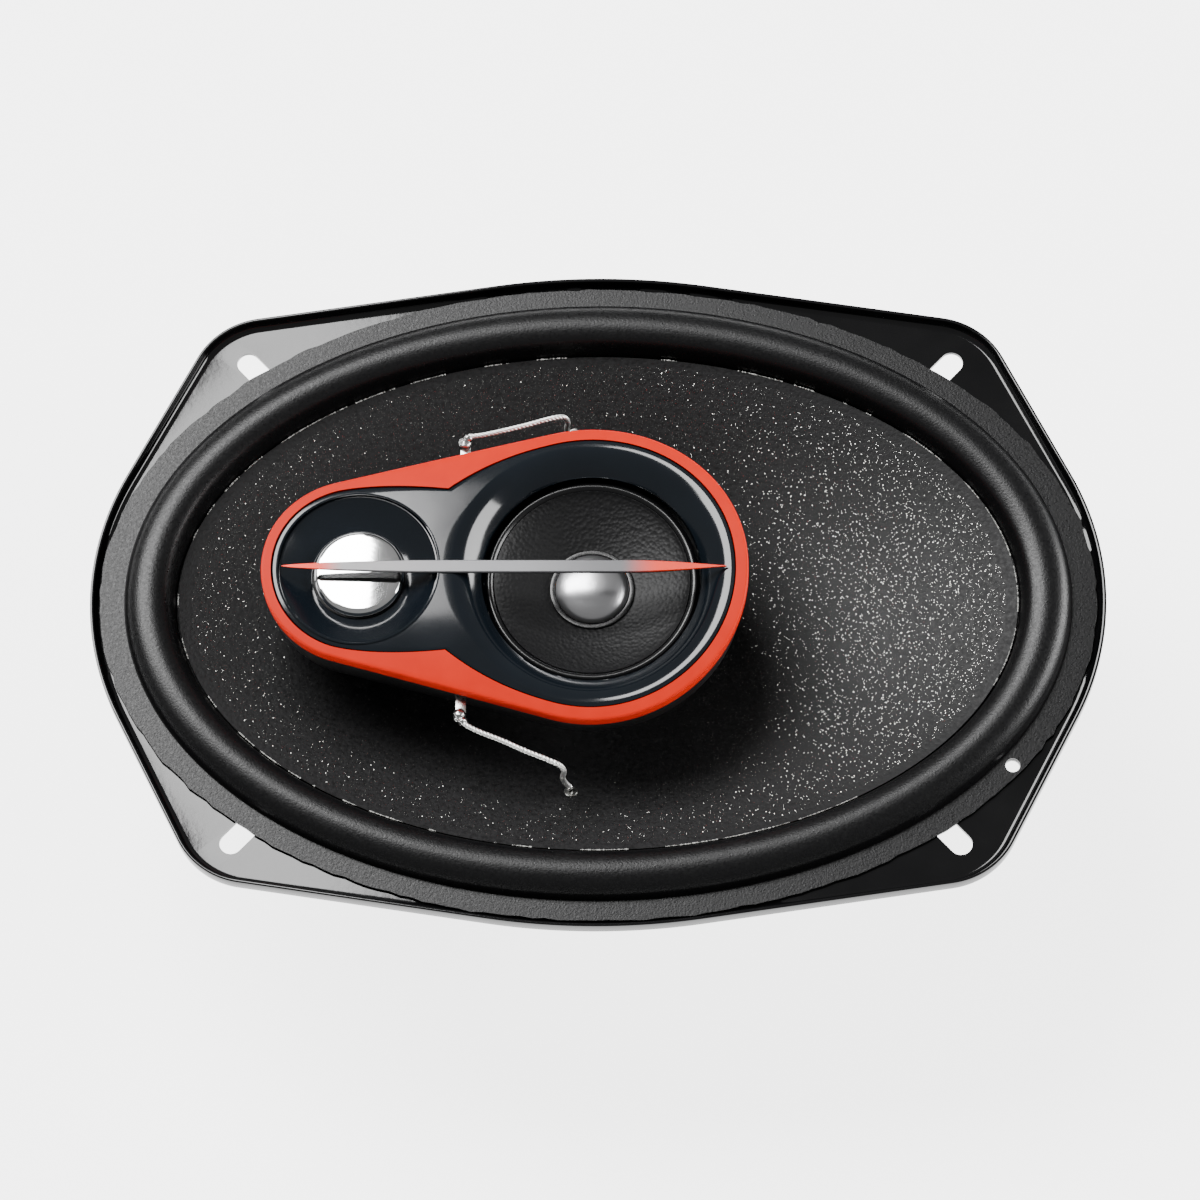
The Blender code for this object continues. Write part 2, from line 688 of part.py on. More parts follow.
def build_post():
    thread_top = COUNTERBORE + MM + SCREW_LENGTH
    foot = COUNTERBORE + MM
    top = MID_CAN_BOTTOM - GAP
    turned(
        "pod_post",
        [
            (0, top + MID_CAN_WALL),
            (POST_STUB_R, top + MID_CAN_WALL),
            (POST_STUB_R, top),
            (POST_R, top),
            (POST_R, POLE_TOP + GAP),
            (POST_FOOT_R, POLE_TOP + GAP),
            (POST_FOOT_R, foot),
            (SCREW_R + GAP, foot),
            (SCREW_R + GAP, thread_top),
            (0, thread_top),
        ],
        BLACK_PLASTIC,
    )
    washer_top = COUNTERBORE - GAP
    washer = tube_between(WASHER_R, SCREW_R + GAP, washer_top - WASHER_T, washer_top)
    turned("post_washer", washer, ZINC_STEEL)
    head_top = washer_top - WASHER_T - GAP
    turned(
        "post_screw",
        [
            (0, thread_top - MM),
            (SCREW_R, thread_top - MM),
            (SCREW_R, head_top),
            (SCREW_HEAD_R, head_top),
            (SCREW_HEAD_R * 0.9, head_top - SCREW_HEAD),
            (0, head_top - SCREW_HEAD),
        ],
        ZINC_STEEL,
    )


# ---------------------------------------------------------------- woofer


def build_cone():
    shares = (1.0, 0.65, 0.3, 0.0)

    def ring(share, drop):
        a = NECK_R + (CONE_A - NECK_R) * share
        b = NECK_R + (CONE_B - NECK_R) * share
        return ellipse_ring(a, b, cone_height(share) - drop)

    rings = [ring(share, 0) for share in shares]
    rings += [ring(share, CONE_T) for share in reversed(shares)]
    cone = loft("cone", rings, PULP)
    for name, side in SIDES:
        place = cone_point(EYELET_X, side * EYELET_FROM_CENTRE)
        profile = rivet_profile(
            EYELET_R, EYELET_HEAD_R, EYELET_HEAD, EYELET_R * 2, EYELET_HEAD, -CONE_T - GAP, GAP
        )
        eyelet = turned(f"eyelet_{name}", profile, TIN, COARSE)
        eyelet.location = place
        eyelet.rotation_euler = cone_normal(place.x, place.y).to_track_quat("Z", "Y").to_euler()
        reach = 3 * CONE_T
        hole = cylinders(f"eyelet_hole_{name}", [(0, 0, EYELET_R + GAP, -reach, reach)])
        hole.location = eyelet.location
        hole.rotation_euler = eyelet.rotation_euler
        boolean(cone, hole)


def build_surround():
    """A lip under the cone's edge, one half roll, and a flat flange on the frame."""
    lip_share = 0.93
    lip_a = NECK_R + (CONE_A - NECK_R) * lip_share
    lip_b = NECK_R + (CONE_B - NECK_R) * lip_share
    lip_z = cone_height(lip_share) - CONE_T - GAP
    foot_z = FLANGE_FRONT - CONE_T - GAP
    band_z = FLANGE_FRONT + GAP + SURROUND_T
    reach = ROLL_WIDTH / 2 - GAP * 2
    middle_a, middle_b = ROLL_A - ROLL_WIDTH / 2 + GAP, ROLL_B - ROLL_WIDTH / 2 + GAP

    def roll(radius, rise, flip):
        rings = []
        for step in range(4):
            turn = math.pi * (step + 0.5) / 4
            offset = radius * math.cos(turn) * flip
            z = band_z - SURROUND_T + rise * math.sin(turn)
            rings.append(ellipse_ring(middle_a + offset, middle_b + offset, z))
        return rings

    top = [ellipse_ring(BAND_A, BAND_B, band_z), ellipse_ring(ROLL_A, ROLL_B, band_z)]
    top += roll(reach, ROLL_RISE, 1)
    top += [ellipse_ring(CONE_A + GAP * 2, CONE_B + GAP * 2, foot_z), ellipse_ring(lip_a, lip_b, lip_z)]
    below = [ellipse_ring(lip_a, lip_b, lip_z - SURROUND_T)]
    below.append(ellipse_ring(CONE_A + GAP * 3, CONE_B + GAP * 3, foot_z - SURROUND_T))
    below += roll(reach - SURROUND_T, ROLL_RISE - SURROUND_T, -1)
    below.append(ellipse_ring(ROLL_A - GAP, ROLL_B - GAP, band_z - SURROUND_T))
    below.append(ellipse_ring(BAND_A, BAND_B, band_z - SURROUND_T))
    surround = loft("surround", top + below, FOAM)
    boolean(surround, PIN_HOLE)


def build_coil():
    former = tube_between(COIL_R, COIL_R - FORMER_T, FORMER_LOW, NECK_Z + MM)
    turned("voice_coil_former", former, KAPTON, FINE)
    low = FORMER_LOW + CHAMFER / 2
    winding = tube_between(WINDING_R, COIL_R + GAP, low, low + WINDING_HEIGHT)
    turned("voice_coil", winding, COPPER, FINE)
    ring_top = NECK_Z + GAP
    felt = tube_between(COIL_R - FORMER_T - GAP, POST_R + AIR_GAP, ring_top - DUST_RING_T, ring_top)
    turned("dust_ring", felt, FELT)


def build_spider():
    """Three waves between the former and the ledge."""
    inner, flat = COIL_R + GAP, LEDGE_INNER_R
    base = LEDGE_Z + GAP
    count = 12

    def wave(i, lift):
        share = i / count
        radius = inner + (flat - inner) * share
        return radius, base + lift + SPIDER_WAVE * (1 - math.cos(math.tau * 3 * share)) / 2

    top = [(SPIDER_R, base + SPIDER_T)] + [wave(i, SPIDER_T) for i in range(count, -1, -1)]
    below = [wave(i, 0) for i in range(count + 1)] + [(SPIDER_R, base)]
    turned("spider", below[::-1] + top[::-1], CLOTH, 28)


# ---------------------------------------------------------------- pod


def pod_screw_places():
    """Two screws behind the midrange bowl's right side, two in the waist."""
    reach = MID_CAN_R + BOSS_R + 2 * GAP
    turn = math.radians(54.3)
    right = (MID_X + reach * math.cos(turn), reach * math.sin(turn))
    waist = (MID_X - POD_MID_R + 7.5 * MM, POD_TWEETER_R - 2.5 * MM)
    return [(x, side * y) for x, y in (right, waist) for side in (1, -1)]


def build_pod_shell():
    top = TRIM_DEPTH + GAP
    slope = SHELL_TAPER
    rings = [
        pod_ring(2 * slope + SHELL_TAPER, z=POD_BACK),
        pod_ring(2 * slope - MM * 0.2, z=POD_BACK + 2 * MM),
        pod_ring(slope, drop=top),
        pod_ring(slope + SHELL_T, drop=top),
        pod_ring(2 * slope + SHELL_T, z=SHELL_INSIDE),
    ]
    shell = loft("pod_shell", rings, BLACK_PLASTIC, capped=True)
    bosses = [(x, y, BOSS_R, POD_BACK + GAP, CAN_TOP) for x, y in pod_screw_places()]
    cans = cylinders(
        "pod_cans",
        [
            (MID_X, 0, MID_CAN_R, MID_CAN_BOTTOM, CAN_TOP),
            (TWEETER_X, 0, TWEETER_CAN_R, POD_BACK - TWEETER_CAN_DEPTH, CAN_TOP - SHELL_FLOOR),
        ],
        segments=28,
    )
    boolean(shell, cans, "UNION")
    boolean(shell, cylinders("pod_bosses", bosses), "UNION")
    narrow = MID_CAN_R - MID_CAN_WALL - MID_SEAT
    rooms = cylinders(
        "pod_rooms",
        [
            (MID_X, 0, narrow, MID_CAN_FLOOR, POD_FRONT),
            (TWEETER_X, 0, TWEETER_CAN_R - MM, TWEETER_CAN_FLOOR, POD_FRONT),
        ],
        segments=28,
    )
    boolean(shell, rooms)
    seat = cylinders("midrange_seat", [(MID_X, 0, MID_CAN_R - MID_CAN_WALL, MID_LEDGE, POD_FRONT)], segments=28)
    boolean(shell, seat)
    holes = [(x, y, POD_SCREW_R + GAP, POD_BACK - MM, POD_FRONT) for x, y in pod_screw_places()]
    boolean(shell, cylinders("pod_screw_holes", holes))
    stub = [(0, 0, POST_STUB_R + GAP, MID_CAN_BOTTOM - MM, MID_CAN_FLOOR + MM)]
    boolean(shell, cylinders("post_stub_hole", stub, segments=MEDIUM))
    for name, side in SIDES:
        boolean(shell, tag_block(f"tag_slot_{name}", side, GAP, None))


def tag_block(name, side, spread, finish):
    """A solder tag through the shell's flank, or its slot with spread added all round."""
    inner, outer = TAG_REACH - TAG_LENGTH, TAG_REACH
    ends = sorted((side * (inner - spread), side * (outer + spread)))
    low = (TAG_X - TAG_WIDTH / 2 - spread, ends[0], TAG_Z - TAG_T / 2 - spread)
    high = (TAG_X + TAG_WIDTH / 2 + spread, ends[1], TAG_Z + TAG_T / 2 + spread)
    return box(name, low, high, finish)


def build_pod_front():
    """The coloured trim, the bezel inside it and the bar across both drivers."""
    lip = 0.5 * MM
    rings = [
        pod_ring(lip, drop=0),
        pod_ring(0, drop=lip),
        pod_ring(0, drop=TRIM_DEPTH),
        pod_ring(0, drop=TRIM_DEPTH, trim=1),
        pod_ring(0, drop=0, trim=1),
    ]
    loft("pod_trim", rings, RED_PAINT)

    blank = [pod_ring(GAP, z=BEZEL_BACK, trim=1), pod_ring(GAP, z=POD_FRONT + MM, trim=1)]
    bezel = loft("pod_bezel", blank, GLOSS_PLASTIC, capped=True)
    bm = bmesh.new()
    turn = Matrix.Rotation(math.pi / 2, 4, "Y")
    length = 4 * POD_MID_R
    across = Matrix.Translation((TWEETER_X / 2, 0, POD_FRONT - POD_CROWN_R)) @ turn
    bmesh.ops.create_cone(
        bm, cap_ends=True, segments=128, radius1=POD_CROWN_R, radius2=POD_CROWN_R, depth=length, matrix=across
    )
    boolean(bezel, add("crown", mesh_from(bm, "crown"), None), "INTERSECT")
    bowl = [
        (0, POD_FRONT + 2 * MM),
        (MID_BOWL_R, POD_FRONT + 2 * MM),
        (MID_BOWL_R, POD_FRONT - MM),
        (MID_BOWL_R - 2 * MM, POD_FRONT - 4.2 * MM),
        (MID_THROAT_R, BEZEL_BACK + MM),
        (MID_THROAT_R, BEZEL_BACK - MM),
        (0, BEZEL_BACK - MM),
    ]
    boolean(bezel, turned("midrange_bowl_cutter", bowl, None, 36, MID_X))
    pocket = [(TWEETER_X, 0, TWEETER_BOWL_R + GAP, BEZEL_BACK - MM, POD_FRONT + 2 * MM)]
    boolean(bezel, cylinders("tweeter_pocket", pocket, segments=28))
    half, low = BAR_WIDTH / 2 + GAP, POD_FRONT + BAR_PROUD - BAR_T - GAP
    left, right = TWEETER_X + TWEETER_BOWL_R - MM, MID_X - MID_BOWL_R + MM
    boolean(bezel, box("bar_groove", (left, -half, low), (right, half, POD_FRONT + MM)))
    holes = [
        (x, y, POD_SCREW_R + GAP, BEZEL_BACK - MM, BEZEL_BACK + POD_SCREW_DEPTH + GAP)
        for x, y in pod_screw_places()
    ]
    boolean(bezel, cylinders("bezel_screw_holes", holes))


def build_bar():
    """A slim bar over both bowls, drawn to a point at each end."""
    left = TWEETER_X - TWEETER_BOWL_R + BAR_TIP_GAP
    right = MID_X + MID_BOWL_R - BAR_TIP_GAP
    top = POD_FRONT + BAR_PROUD
    stations = ((0.0, 0.1), (0.08, 0.6), (0.26, 0.93), (0.5, 1.0), (0.8, 1.0), (0.92, 0.7), (1.0, 0.1))
    rings = []
    for share, width in stations:
        x = left + (right - left) * share
        half = BAR_WIDTH / 2 * width
        low = top - BAR_T * max(width, 0.5)
        rings.append([(x, -half, top), (x, half, top), (x, half * 0.8, low), (x, -half * 0.8, low)])
    loft("bridge_bar", rings, SATIN_SILVER, capped=True)


def build_pod_fasteners():
    top = BEZEL_BACK + POD_SCREW_DEPTH
    low = POD_BACK - GAP
    for number, (x, y) in enumerate(pod_screw_places(), 1):
        profile = [
            (0, top),
            (POD_SCREW_R, top),
            (POD_SCREW_R, low),
            (POD_SCREW_HEAD_R, low),
            (POD_SCREW_HEAD_R * 0.7, low - POD_SCREW_HEAD),
            (0, low - POD_SCREW_HEAD),
        ]
        turned(f"pod_screw_{number}", profile, ZINC_STEEL, COARSE).location = (x, y, 0)
    waist = ((TWEETER_X + TWEETER_CAN_R) + (MID_X - MID_CAN_R)) / 2
    for name, side in (("tweeter", -1), ("midrange", 1)):
        place_x = waist + side * (CAPACITOR_R + GAP)
        half = CAPACITOR_LENGTH / 2
        profile = [(0, half), (CAPACITOR_R, half), (CAPACITOR_R, -half), (0, -half)]
        can = turned(f"{name}_capacitor", profile, SLEEVE, COARSE)
        can.rotation_euler.x = math.pi / 2
        can.location = (place_x, 0, SHELL_INSIDE + GAP + CAPACITOR_R)


def build_midrange():
    floor = MID_CAN_FLOOR + GAP
    inner_wall = MID_COIL_R + 2.2 * GAP
    yoke_top = floor + MID_YOKE_HEIGHT
    inside = floor + SMALL_FLOOR
    turned(
        "midrange_yoke",
        [
            (0, inside),
            (inner_wall, inside),
            (inner_wall, yoke_top),
            (MID_YOKE_R, yoke_top),
            (MID_YOKE_R, floor),
            (0, floor),
        ],
        ZINC_STEEL,
        MEDIUM,
        MID_X,
    )
    core_r = MID_COIL_R - SMALL_COIL_T - 2 * GAP
    magnet_top = inside + GAP + MID_MAGNET_T
    turned("midrange_magnet", disc(core_r - GAP, inside + GAP, magnet_top), NICKEL, MEDIUM, MID_X)
    turned("midrange_pole_plate", disc(core_r, magnet_top + GAP, yoke_top), ZINC_STEEL, MEDIUM, MID_X)

    seat = MID_LEDGE + GAP
    flange_top = seat + MID_FLANGE_T
    flange_r = MID_CAN_R - MID_CAN_WALL - GAP
    hub_r = MID_YOKE_R + GAP
    hub_z = yoke_top - 2.4 * MM
    turned(
        "midrange_frame",
        [
            (flange_r, flange_top),
            (flange_r, seat),
            (flange_r - MID_SEAT, seat),
            (hub_r + 1.6 * MM, hub_z),
            (hub_r, hub_z),
            (hub_r, hub_z + MID_FLANGE_T),
            (hub_r + 1.1 * MM, hub_z + MID_FLANGE_T),
            (flange_r - MID_SEAT - 0.8 * MM, flange_top - GAP),
            (flange_r - MID_SEAT - 0.4 * MM, flange_top),
        ],
        STEEL,
        MEDIUM,
        MID_X,
    )
    coil_low = inside + 1.5 * MM
    neck = yoke_top + 2.4 * MM
    coil = tube_between(MID_COIL_R, MID_COIL_R - SMALL_COIL_T, coil_low, neck)
    turned("midrange_voice_coil", coil, COPPER, MEDIUM, MID_X)

    edge, paper = flange_top + 1.0 * MM, 0.4 * MM
    cone_in = MID_COIL_R + 1.3 * GAP
    profile = [
        (MID_CONE_R, edge),
        (MID_CONE_R, edge - paper),
        ((MID_CONE_R + cone_in) / 2, neck + 1.6 * MM),
        (cone_in, neck - paper),
        (cone_in, neck),
        ((MID_CONE_R + cone_in) / 2, neck + 1.6 * MM + paper),
    ]
    turned("midrange_cone", profile, PAPER, MEDIUM, MID_X)
    turned("midrange_dome", dome(MID_DOME_R, neck + GAP, MID_DOME_RISE), POLISHED, MEDIUM, MID_X)
    out, inn = flange_r - GAP / 3, MID_CONE_R + GAP
    low = flange_top + GAP
    roll = [(out, low + paper), (out, low), ((out + inn) / 2, low + 0.7 * MM), (inn, low + GAP)]
    roll += [(inn, low + GAP + paper), ((out + inn) / 2, low + 0.7 * MM + paper)]
    turned("midrange_surround", roll, FOAM, MEDIUM, MID_X)


def dome(radius, base, rise):
    """Profile of a thin domed cap that is open below."""
    wall = 0.3 * MM
    turns = [math.radians(a) for a in (90, 60, 30, 0)]
    outer = [(radius * math.cos(a), base + rise * math.sin(a)) for a in turns]
    inner = [((radius - wall) * math.cos(a), base + (rise - wall) * math.sin(a)) for a in reversed(turns)]
    outer[0] = (0, base + rise)
    inner[-1] = (0, base + rise - wall)
    return outer + inner


def diaphragm(radius, base, rise):
    """Profile of a thin cap that is all but flat, with a rounded shoulder, open below."""
    wall, shoulder = 0.3 * MM, 1.4 * MM
    top = base + rise
    outer = [
        (0, top),
        (radius - shoulder, top - shoulder * 0.1),
        (radius - shoulder * 0.3, top - shoulder * 0.4),
        (radius, top - shoulder * 1.1),
        (radius, base),
    ]
    return outer + [(max(r - wall, 0), z - wall if z > base else base) for r, z in reversed(outer)]


def build_tweeter():
    floor = TWEETER_CAN_FLOOR + GAP
    inner_wall = TWEETER_COIL_R + 2 * GAP
    yoke_top = floor + TWEETER_YOKE_HEIGHT
    inside = floor + SMALL_FLOOR
    turned(
        "tweeter_yoke",
        [
            (0, inside),
            (inner_wall, inside),
            (inner_wall, yoke_top),
            (TWEETER_CAN_R - 1.5 * MM, yoke_top),
            (TWEETER_CAN_R - 1.5 * MM, floor),
            (0, floor),
        ],
        ZINC_STEEL,
        MEDIUM,
        TWEETER_X,
    )
    core_r = TWEETER_COIL_R - SMALL_COIL_T - 2 * GAP
    magnet_top = inside + GAP + TWEETER_MAGNET_T
    turned("tweeter_magnet", disc(core_r - GAP, inside + GAP, magnet_top), NICKEL, MEDIUM, TWEETER_X)
    plate = disc(core_r, magnet_top + GAP, magnet_top + GAP + SMALL_PLATE_T)
    turned("tweeter_pole_plate", plate, ZINC_STEEL, MEDIUM, TWEETER_X)

    ring_low = yoke_top + GAP
    ring_top = ring_low + TWEETER_RING_T
    ring = tube_between(TWEETER_BOWL_R, inner_wall, ring_low, ring_top)
    turned("tweeter_mounting_ring", ring, BLACK_PLASTIC, MEDIUM, TWEETER_X)
    base = ring_top + GAP
    coil = tube_between(TWEETER_COIL_R, TWEETER_COIL_R - SMALL_COIL_T, inside + 1.8 * MM, ring_top - GAP)
    turned("tweeter_voice_coil", coil, COPPER, MEDIUM, TWEETER_X)
    turned("tweeter_dome", diaphragm(TWEETER_DOME_R, base + GAP, TWEETER_DOME_RISE), POLISHED, MEDIUM, TWEETER_X)
    rim = POD_FRONT - TWEETER_BOWL_SINK
    bowl = [
        (TWEETER_BOWL_R - 0.5 * MM, rim),
        (TWEETER_BOWL_R, rim - 0.5 * MM),
        (TWEETER_BOWL_R, base),
        (TWEETER_THROAT_R, base),
        (TWEETER_THROAT_R, base + 1.1 * MM),
        ((TWEETER_BOWL_R + TWEETER_THROAT_R) / 2 + MM, base + 2.6 * MM),
    ]
    turned("tweeter_bowl", bowl, GLOSS_PLASTIC, 32, TWEETER_X)


# ---------------------------------------------------------------- wiring


def bent_tab(name, spoke, width, at_x, blade, finish, low_z):
    """An L of sheet metal: its foot on the spoke's board, its blade standing out from it."""
    outline = [
        (-TAB_FOOT / 2, low_z),
        (TAB_FOOT / 2, low_z),
        (TAB_FOOT / 2, low_z + TAB_T),
        (-TAB_FOOT / 2 + TAB_T, low_z + TAB_T),
        (-TAB_FOOT / 2 + TAB_T, low_z + blade),
        (-TAB_FOOT / 2, low_z + blade),
    ]
    bm = bmesh.new()
    base = bm.faces.new([bm.verts.new((at_x - width / 2, y, z)) for y, z in outline])
    raised = bmesh.ops.extrude_face_region(bm, geom=[base])["geom"]
    corners = [item for item in raised if isinstance(item, bmesh.types.BMVert)]
    bmesh.ops.translate(bm, verts=corners, vec=(width, 0, 0))
    tab = add(name, mesh_from(bm, name), finish)
    tab.parent = spoke
    return tab


def build_terminals(terminal_spoke, anchor_spoke):
    board = box(
        "terminal_board",
        (-BOARD_LENGTH / 2, -BOARD_WIDTH / 2, GAP),
        (BOARD_LENGTH / 2, BOARD_WIDTH / 2, GAP + BOARD_T),
        FIBRE,
        parent=terminal_spoke,
    )
    hole = cylinders("board_hole", [(0, 0, RIVET_R + GAP, -SHEET, BOARD_T + SHEET)])
    hole.parent = terminal_spoke
    boolean(board, hole)
    on_board = BOARD_T + 2 * GAP
    bent_tab("terminal_tab_wide", terminal_spoke, TAB_WIDE, TAB_AT, TAB_BLADE, BRASS, on_board)
    bent_tab("terminal_tab_narrow", terminal_spoke, TAB_NARROW, -TAB_AT, TAB_BLADE, BRASS, on_board)
    inside = -SHEET * 1.2 - 2 * GAP
    profile = rivet_profile(RIVET_R, RIVET_HEAD_R, RIVET_HEAD, RIVET_HEAD_R * 0.8, RIVET_HEAD, inside, on_board)
    turned("terminal_rivet", profile, BRASS, COARSE).parent = terminal_spoke

    tag = bent_tab("anchor_tag", anchor_spoke, TAB_NARROW * 2, 0, TAB_BLADE / 3, BRASS, GAP)
    hole = cylinders("anchor_tag_hole", [(0, 0, RIVET_R + GAP, -SHEET, SHEET + 2 * TAB_T)])
    hole.parent = anchor_spoke
    boolean(tag, hole)
    on_tag = TAB_T + 2 * GAP
    profile = rivet_profile(RIVET_R, RIVET_HEAD_R, RIVET_HEAD, RIVET_HEAD_R * 0.8, RIVET_HEAD, inside, on_tag)
    turned("anchor_rivet", profile, BRASS, COARSE).parent = anchor_spoke


def mirrored(points, side):
    return [Vector((p.x, side * p.y, p.z)) for p in points]


def millimetres(*places):
    return [Vector(place) * MM for place in places]


def build_leads():
    """Braided leads: solder tag to eyelet in front of the cone, eyelet to terminal behind it."""
    front = millimetres(
        (-30.2, 36.0, 91.9),
        (-26.6, 37.2, 92.3),
        (-21.6, 38.8, 92.6),
        (-16.2, 40.8, 92.2),
        (-11.2, 42.6, 91.9),
        (-8.2, 43.6, 90.6),
        (-7.2, 43.8, 86.8),
        (-7.6, 44.0, 82.0),
        (-7.2, 44.0, 77.0),
        (-6.3, 44.6, 73.2),
    )
    rear = millimetres(
        (-5.6, 46.4, 68.9),
        (-5.4, 48.4, 65.2),
        (-5.2, 52.6, 62.6),
        (-5.0, 58.0, 62.4),
        (-5.0, 63.0, 64.6),
        (-5.0, 67.4, 66.0),
        (-5.0, 70.2, 65.2),
        (-5.0, 69.6, 61.8),
        (-5.0, 66.8, 58.6),
        (-5.2, 64.2, 56.4),
    )
    for name, side in SIDES:
        wire(f"front_lead_{name}", mirrored(smooth_route(front, 2), side), LEAD_R, BRAID)
        wire(f"rear_lead_{name}", mirrored(smooth_route(rear, 2), side), LEAD_R, BRAID)


def build_jumper():
    """The insulated wire that joins the anchor tag to the board, round the basket's neck."""
    start = millimetres((4.4, -60.0, 51.7), (8.8, -60.8, 51.0), (12.8, -60.6, 48.4), (14.4, -56.2, 42.2))
    finish = millimetres((14.4, 56.2, 42.2), (14.4, 60.6, 46.6), (12.4, 61.8, 49.4), (8.4, 61.6, 50.4))
    neck_r, neck_z = FLOOR_R + 8 * MM, FLOOR_TOP + 5.7 * MM
    turns = [math.radians(a) for a in range(-72, 73, 18)]
    ring = [Vector((neck_r * math.cos(t), neck_r * math.sin(t), neck_z)) for t in turns]
    wire("jumper_wire", smooth_route(start + ring + finish, 2), WIRE_R, PVC)


# ---------------------------------------------------------------- build

clear_scene()
SPEAKER = new_collection("coaxial_speaker")
CUTTERS = new_collection("cutters")
SIDES = (("upper", 1), ("lower", -1))
LEAD_X = -5 * MM
_flank = math.asin((POD_MID_R - POD_TWEETER_R) / (MID_X - TWEETER_X))
TAG_REACH = (POD_MID_R + math.sin(_flank) * (TAG_X - MID_X)) / math.cos(_flank) + 4.4 * MM

STEEL = material("black_painted_steel", (0.012, 0.012, 0.013), 0.28)
ZINC_STEEL = material("zinc_plated_steel", (0.55, 0.55, 0.53), 0.35, 1.0)
FERRITE = material("ferrite", (0.035, 0.035, 0.037), 0.7)
BLACK_PLASTIC = material("black_plastic", (0.015, 0.015, 0.016), 0.45)
GLOSS_PLASTIC = material("gloss_black_plastic", (0.008, 0.010, 0.014), 0.08)
RED_PAINT = material("red_paint", (0.85, 0.07, 0.035), 0.35)
SATIN_SILVER = material("satin_silver", (0.45, 0.45, 0.46), 0.4, 0.6)
POLISHED = material("polished_film", (0.8, 0.8, 0.8), 0.08, 1.0)
PULP = material("mica_paper_pulp", (0.012, 0.012, 0.013), 0.6)
PAPER = material("textured_paper", (0.012, 0.012, 0.012), 0.55)
FOAM = material("surround_foam", (0.02, 0.02, 0.021), 0.75)
CLOTH = material("spider_cloth", (0.55, 0.40, 0.14), 0.9)
FELT = material("black_felt", (0.02, 0.02, 0.02), 1.0)
KAPTON = material("kapton", (0.45, 0.17, 0.03), 0.3)
COPPER = material("enamelled_copper", (0.65, 0.25, 0.12), 0.3, 1.0)
NICKEL = material("nickel_plate", (0.6, 0.58, 0.54), 0.25, 1.0)
TIN = material("tinned_brass", (0.6, 0.6, 0.58), 0.35, 1.0)
BRASS = material("brass_strip", (0.7, 0.5, 0.22), 0.3, 1.0)
FIBRE = material("phenolic_board", (0.16, 0.07, 0.03), 0.6)
BRAID = material("silver_braid", (0.7, 0.7, 0.68), 0.4, 1.0)
PVC = material("black_pvc", (0.02, 0.02, 0.02), 0.5)
SLEEVE = material("capacitor_sleeve", (0.05, 0.05, 0.16), 0.4)

PIN_HOLE = cylinders(
    "pin_hole",
    [(HALF_LENGTH - PIN_HOLE_FROM_END, PIN_HOLE_FROM_SIDE - HALF_WIDTH, PIN_HOLE_R, FLANGE_REAR - MM, RIM_TOP)],
)
RIVET_HOLES = cylinders(
    "rivet_holes", [(x, y, RIVET_R + GAP, TOP_PLATE_Z + CHAMFER, FLOOR_TOP + MM) for x, y in rivet_places()]
)

terminal_spoke = spoke_mount(1)
anchor_spoke = spoke_mount(-1)
build_frame((terminal_spoke, anchor_spoke))
build_motor()
build_post()
build_cone()
build_surround()
build_coil()
build_spider()
build_pod_shell()
build_pod_front()
build_bar()
build_pod_fasteners()
build_midrange()
build_tweeter()
for tag_name, tag_side in SIDES:
    tag_block(f"lead_tag_{tag_name}", tag_side, 0, TIN)
build_terminals(terminal_spoke, anchor_spoke)
build_leads()
build_jumper()
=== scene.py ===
"""Looks for the three-way coaxial car speaker, 6x9 inch.

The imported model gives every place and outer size. The values below shape what the
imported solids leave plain. Metres, +Z is the speaker's axis and +X is its long side.
"""

import math

import bmesh
import bpy
import numpy as np
from mathutils import Matrix, Vector, noise


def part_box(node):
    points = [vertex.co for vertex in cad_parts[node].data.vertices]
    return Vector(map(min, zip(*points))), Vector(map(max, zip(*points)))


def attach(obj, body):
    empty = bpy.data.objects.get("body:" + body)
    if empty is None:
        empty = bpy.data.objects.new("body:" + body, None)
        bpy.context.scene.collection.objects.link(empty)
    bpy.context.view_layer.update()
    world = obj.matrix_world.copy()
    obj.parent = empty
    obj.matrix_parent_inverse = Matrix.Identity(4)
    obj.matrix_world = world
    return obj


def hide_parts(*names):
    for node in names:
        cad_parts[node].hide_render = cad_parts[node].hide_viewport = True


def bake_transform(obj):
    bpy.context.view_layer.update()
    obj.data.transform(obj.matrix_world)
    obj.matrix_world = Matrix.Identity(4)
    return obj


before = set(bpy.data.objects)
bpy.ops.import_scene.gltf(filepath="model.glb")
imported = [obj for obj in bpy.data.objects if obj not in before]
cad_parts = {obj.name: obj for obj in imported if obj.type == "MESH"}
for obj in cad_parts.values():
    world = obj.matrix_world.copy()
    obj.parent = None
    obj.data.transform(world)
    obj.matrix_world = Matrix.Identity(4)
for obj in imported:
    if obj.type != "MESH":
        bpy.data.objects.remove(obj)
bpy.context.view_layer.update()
MM = 0.001
GLUE_GAP = 0.3 * MM  # between pieces that are glued together

# Frame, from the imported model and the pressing's own radii
FRAME_LOW, FRAME_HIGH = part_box("frame")
HALF_LENGTH, HALF_WIDTH, RIM_TOP = FRAME_HIGH
SHEET = 1.0 * MM
RIM_RISE = 3.0 * MM
RIM_WALL = 0.9 * MM
RIM_ROUND = 0.3 * MM
RIM_FILLET = 1.7 * MM
END_R = 67 * MM
LONG_R = 167 * MM
CORNER_R = 19 * MM
END_LEAN = math.radians(27)
LONG_LEAN = math.radians(8.6)
SLOT_WIDTH = 5.4 * MM
SLOT_LENGTH = 5.0 * MM
SLOT_FROM_END = 35.0 * MM
SLOT_FROM_SIDE = 21.1 * MM
SLOT_TURN = math.radians(47)
PIN_HOLE = Vector((HALF_LENGTH - 22.7 * MM, 40.0 * MM - HALF_WIDTH, 0))
PIN_HOLE_R = 1.7 * MM
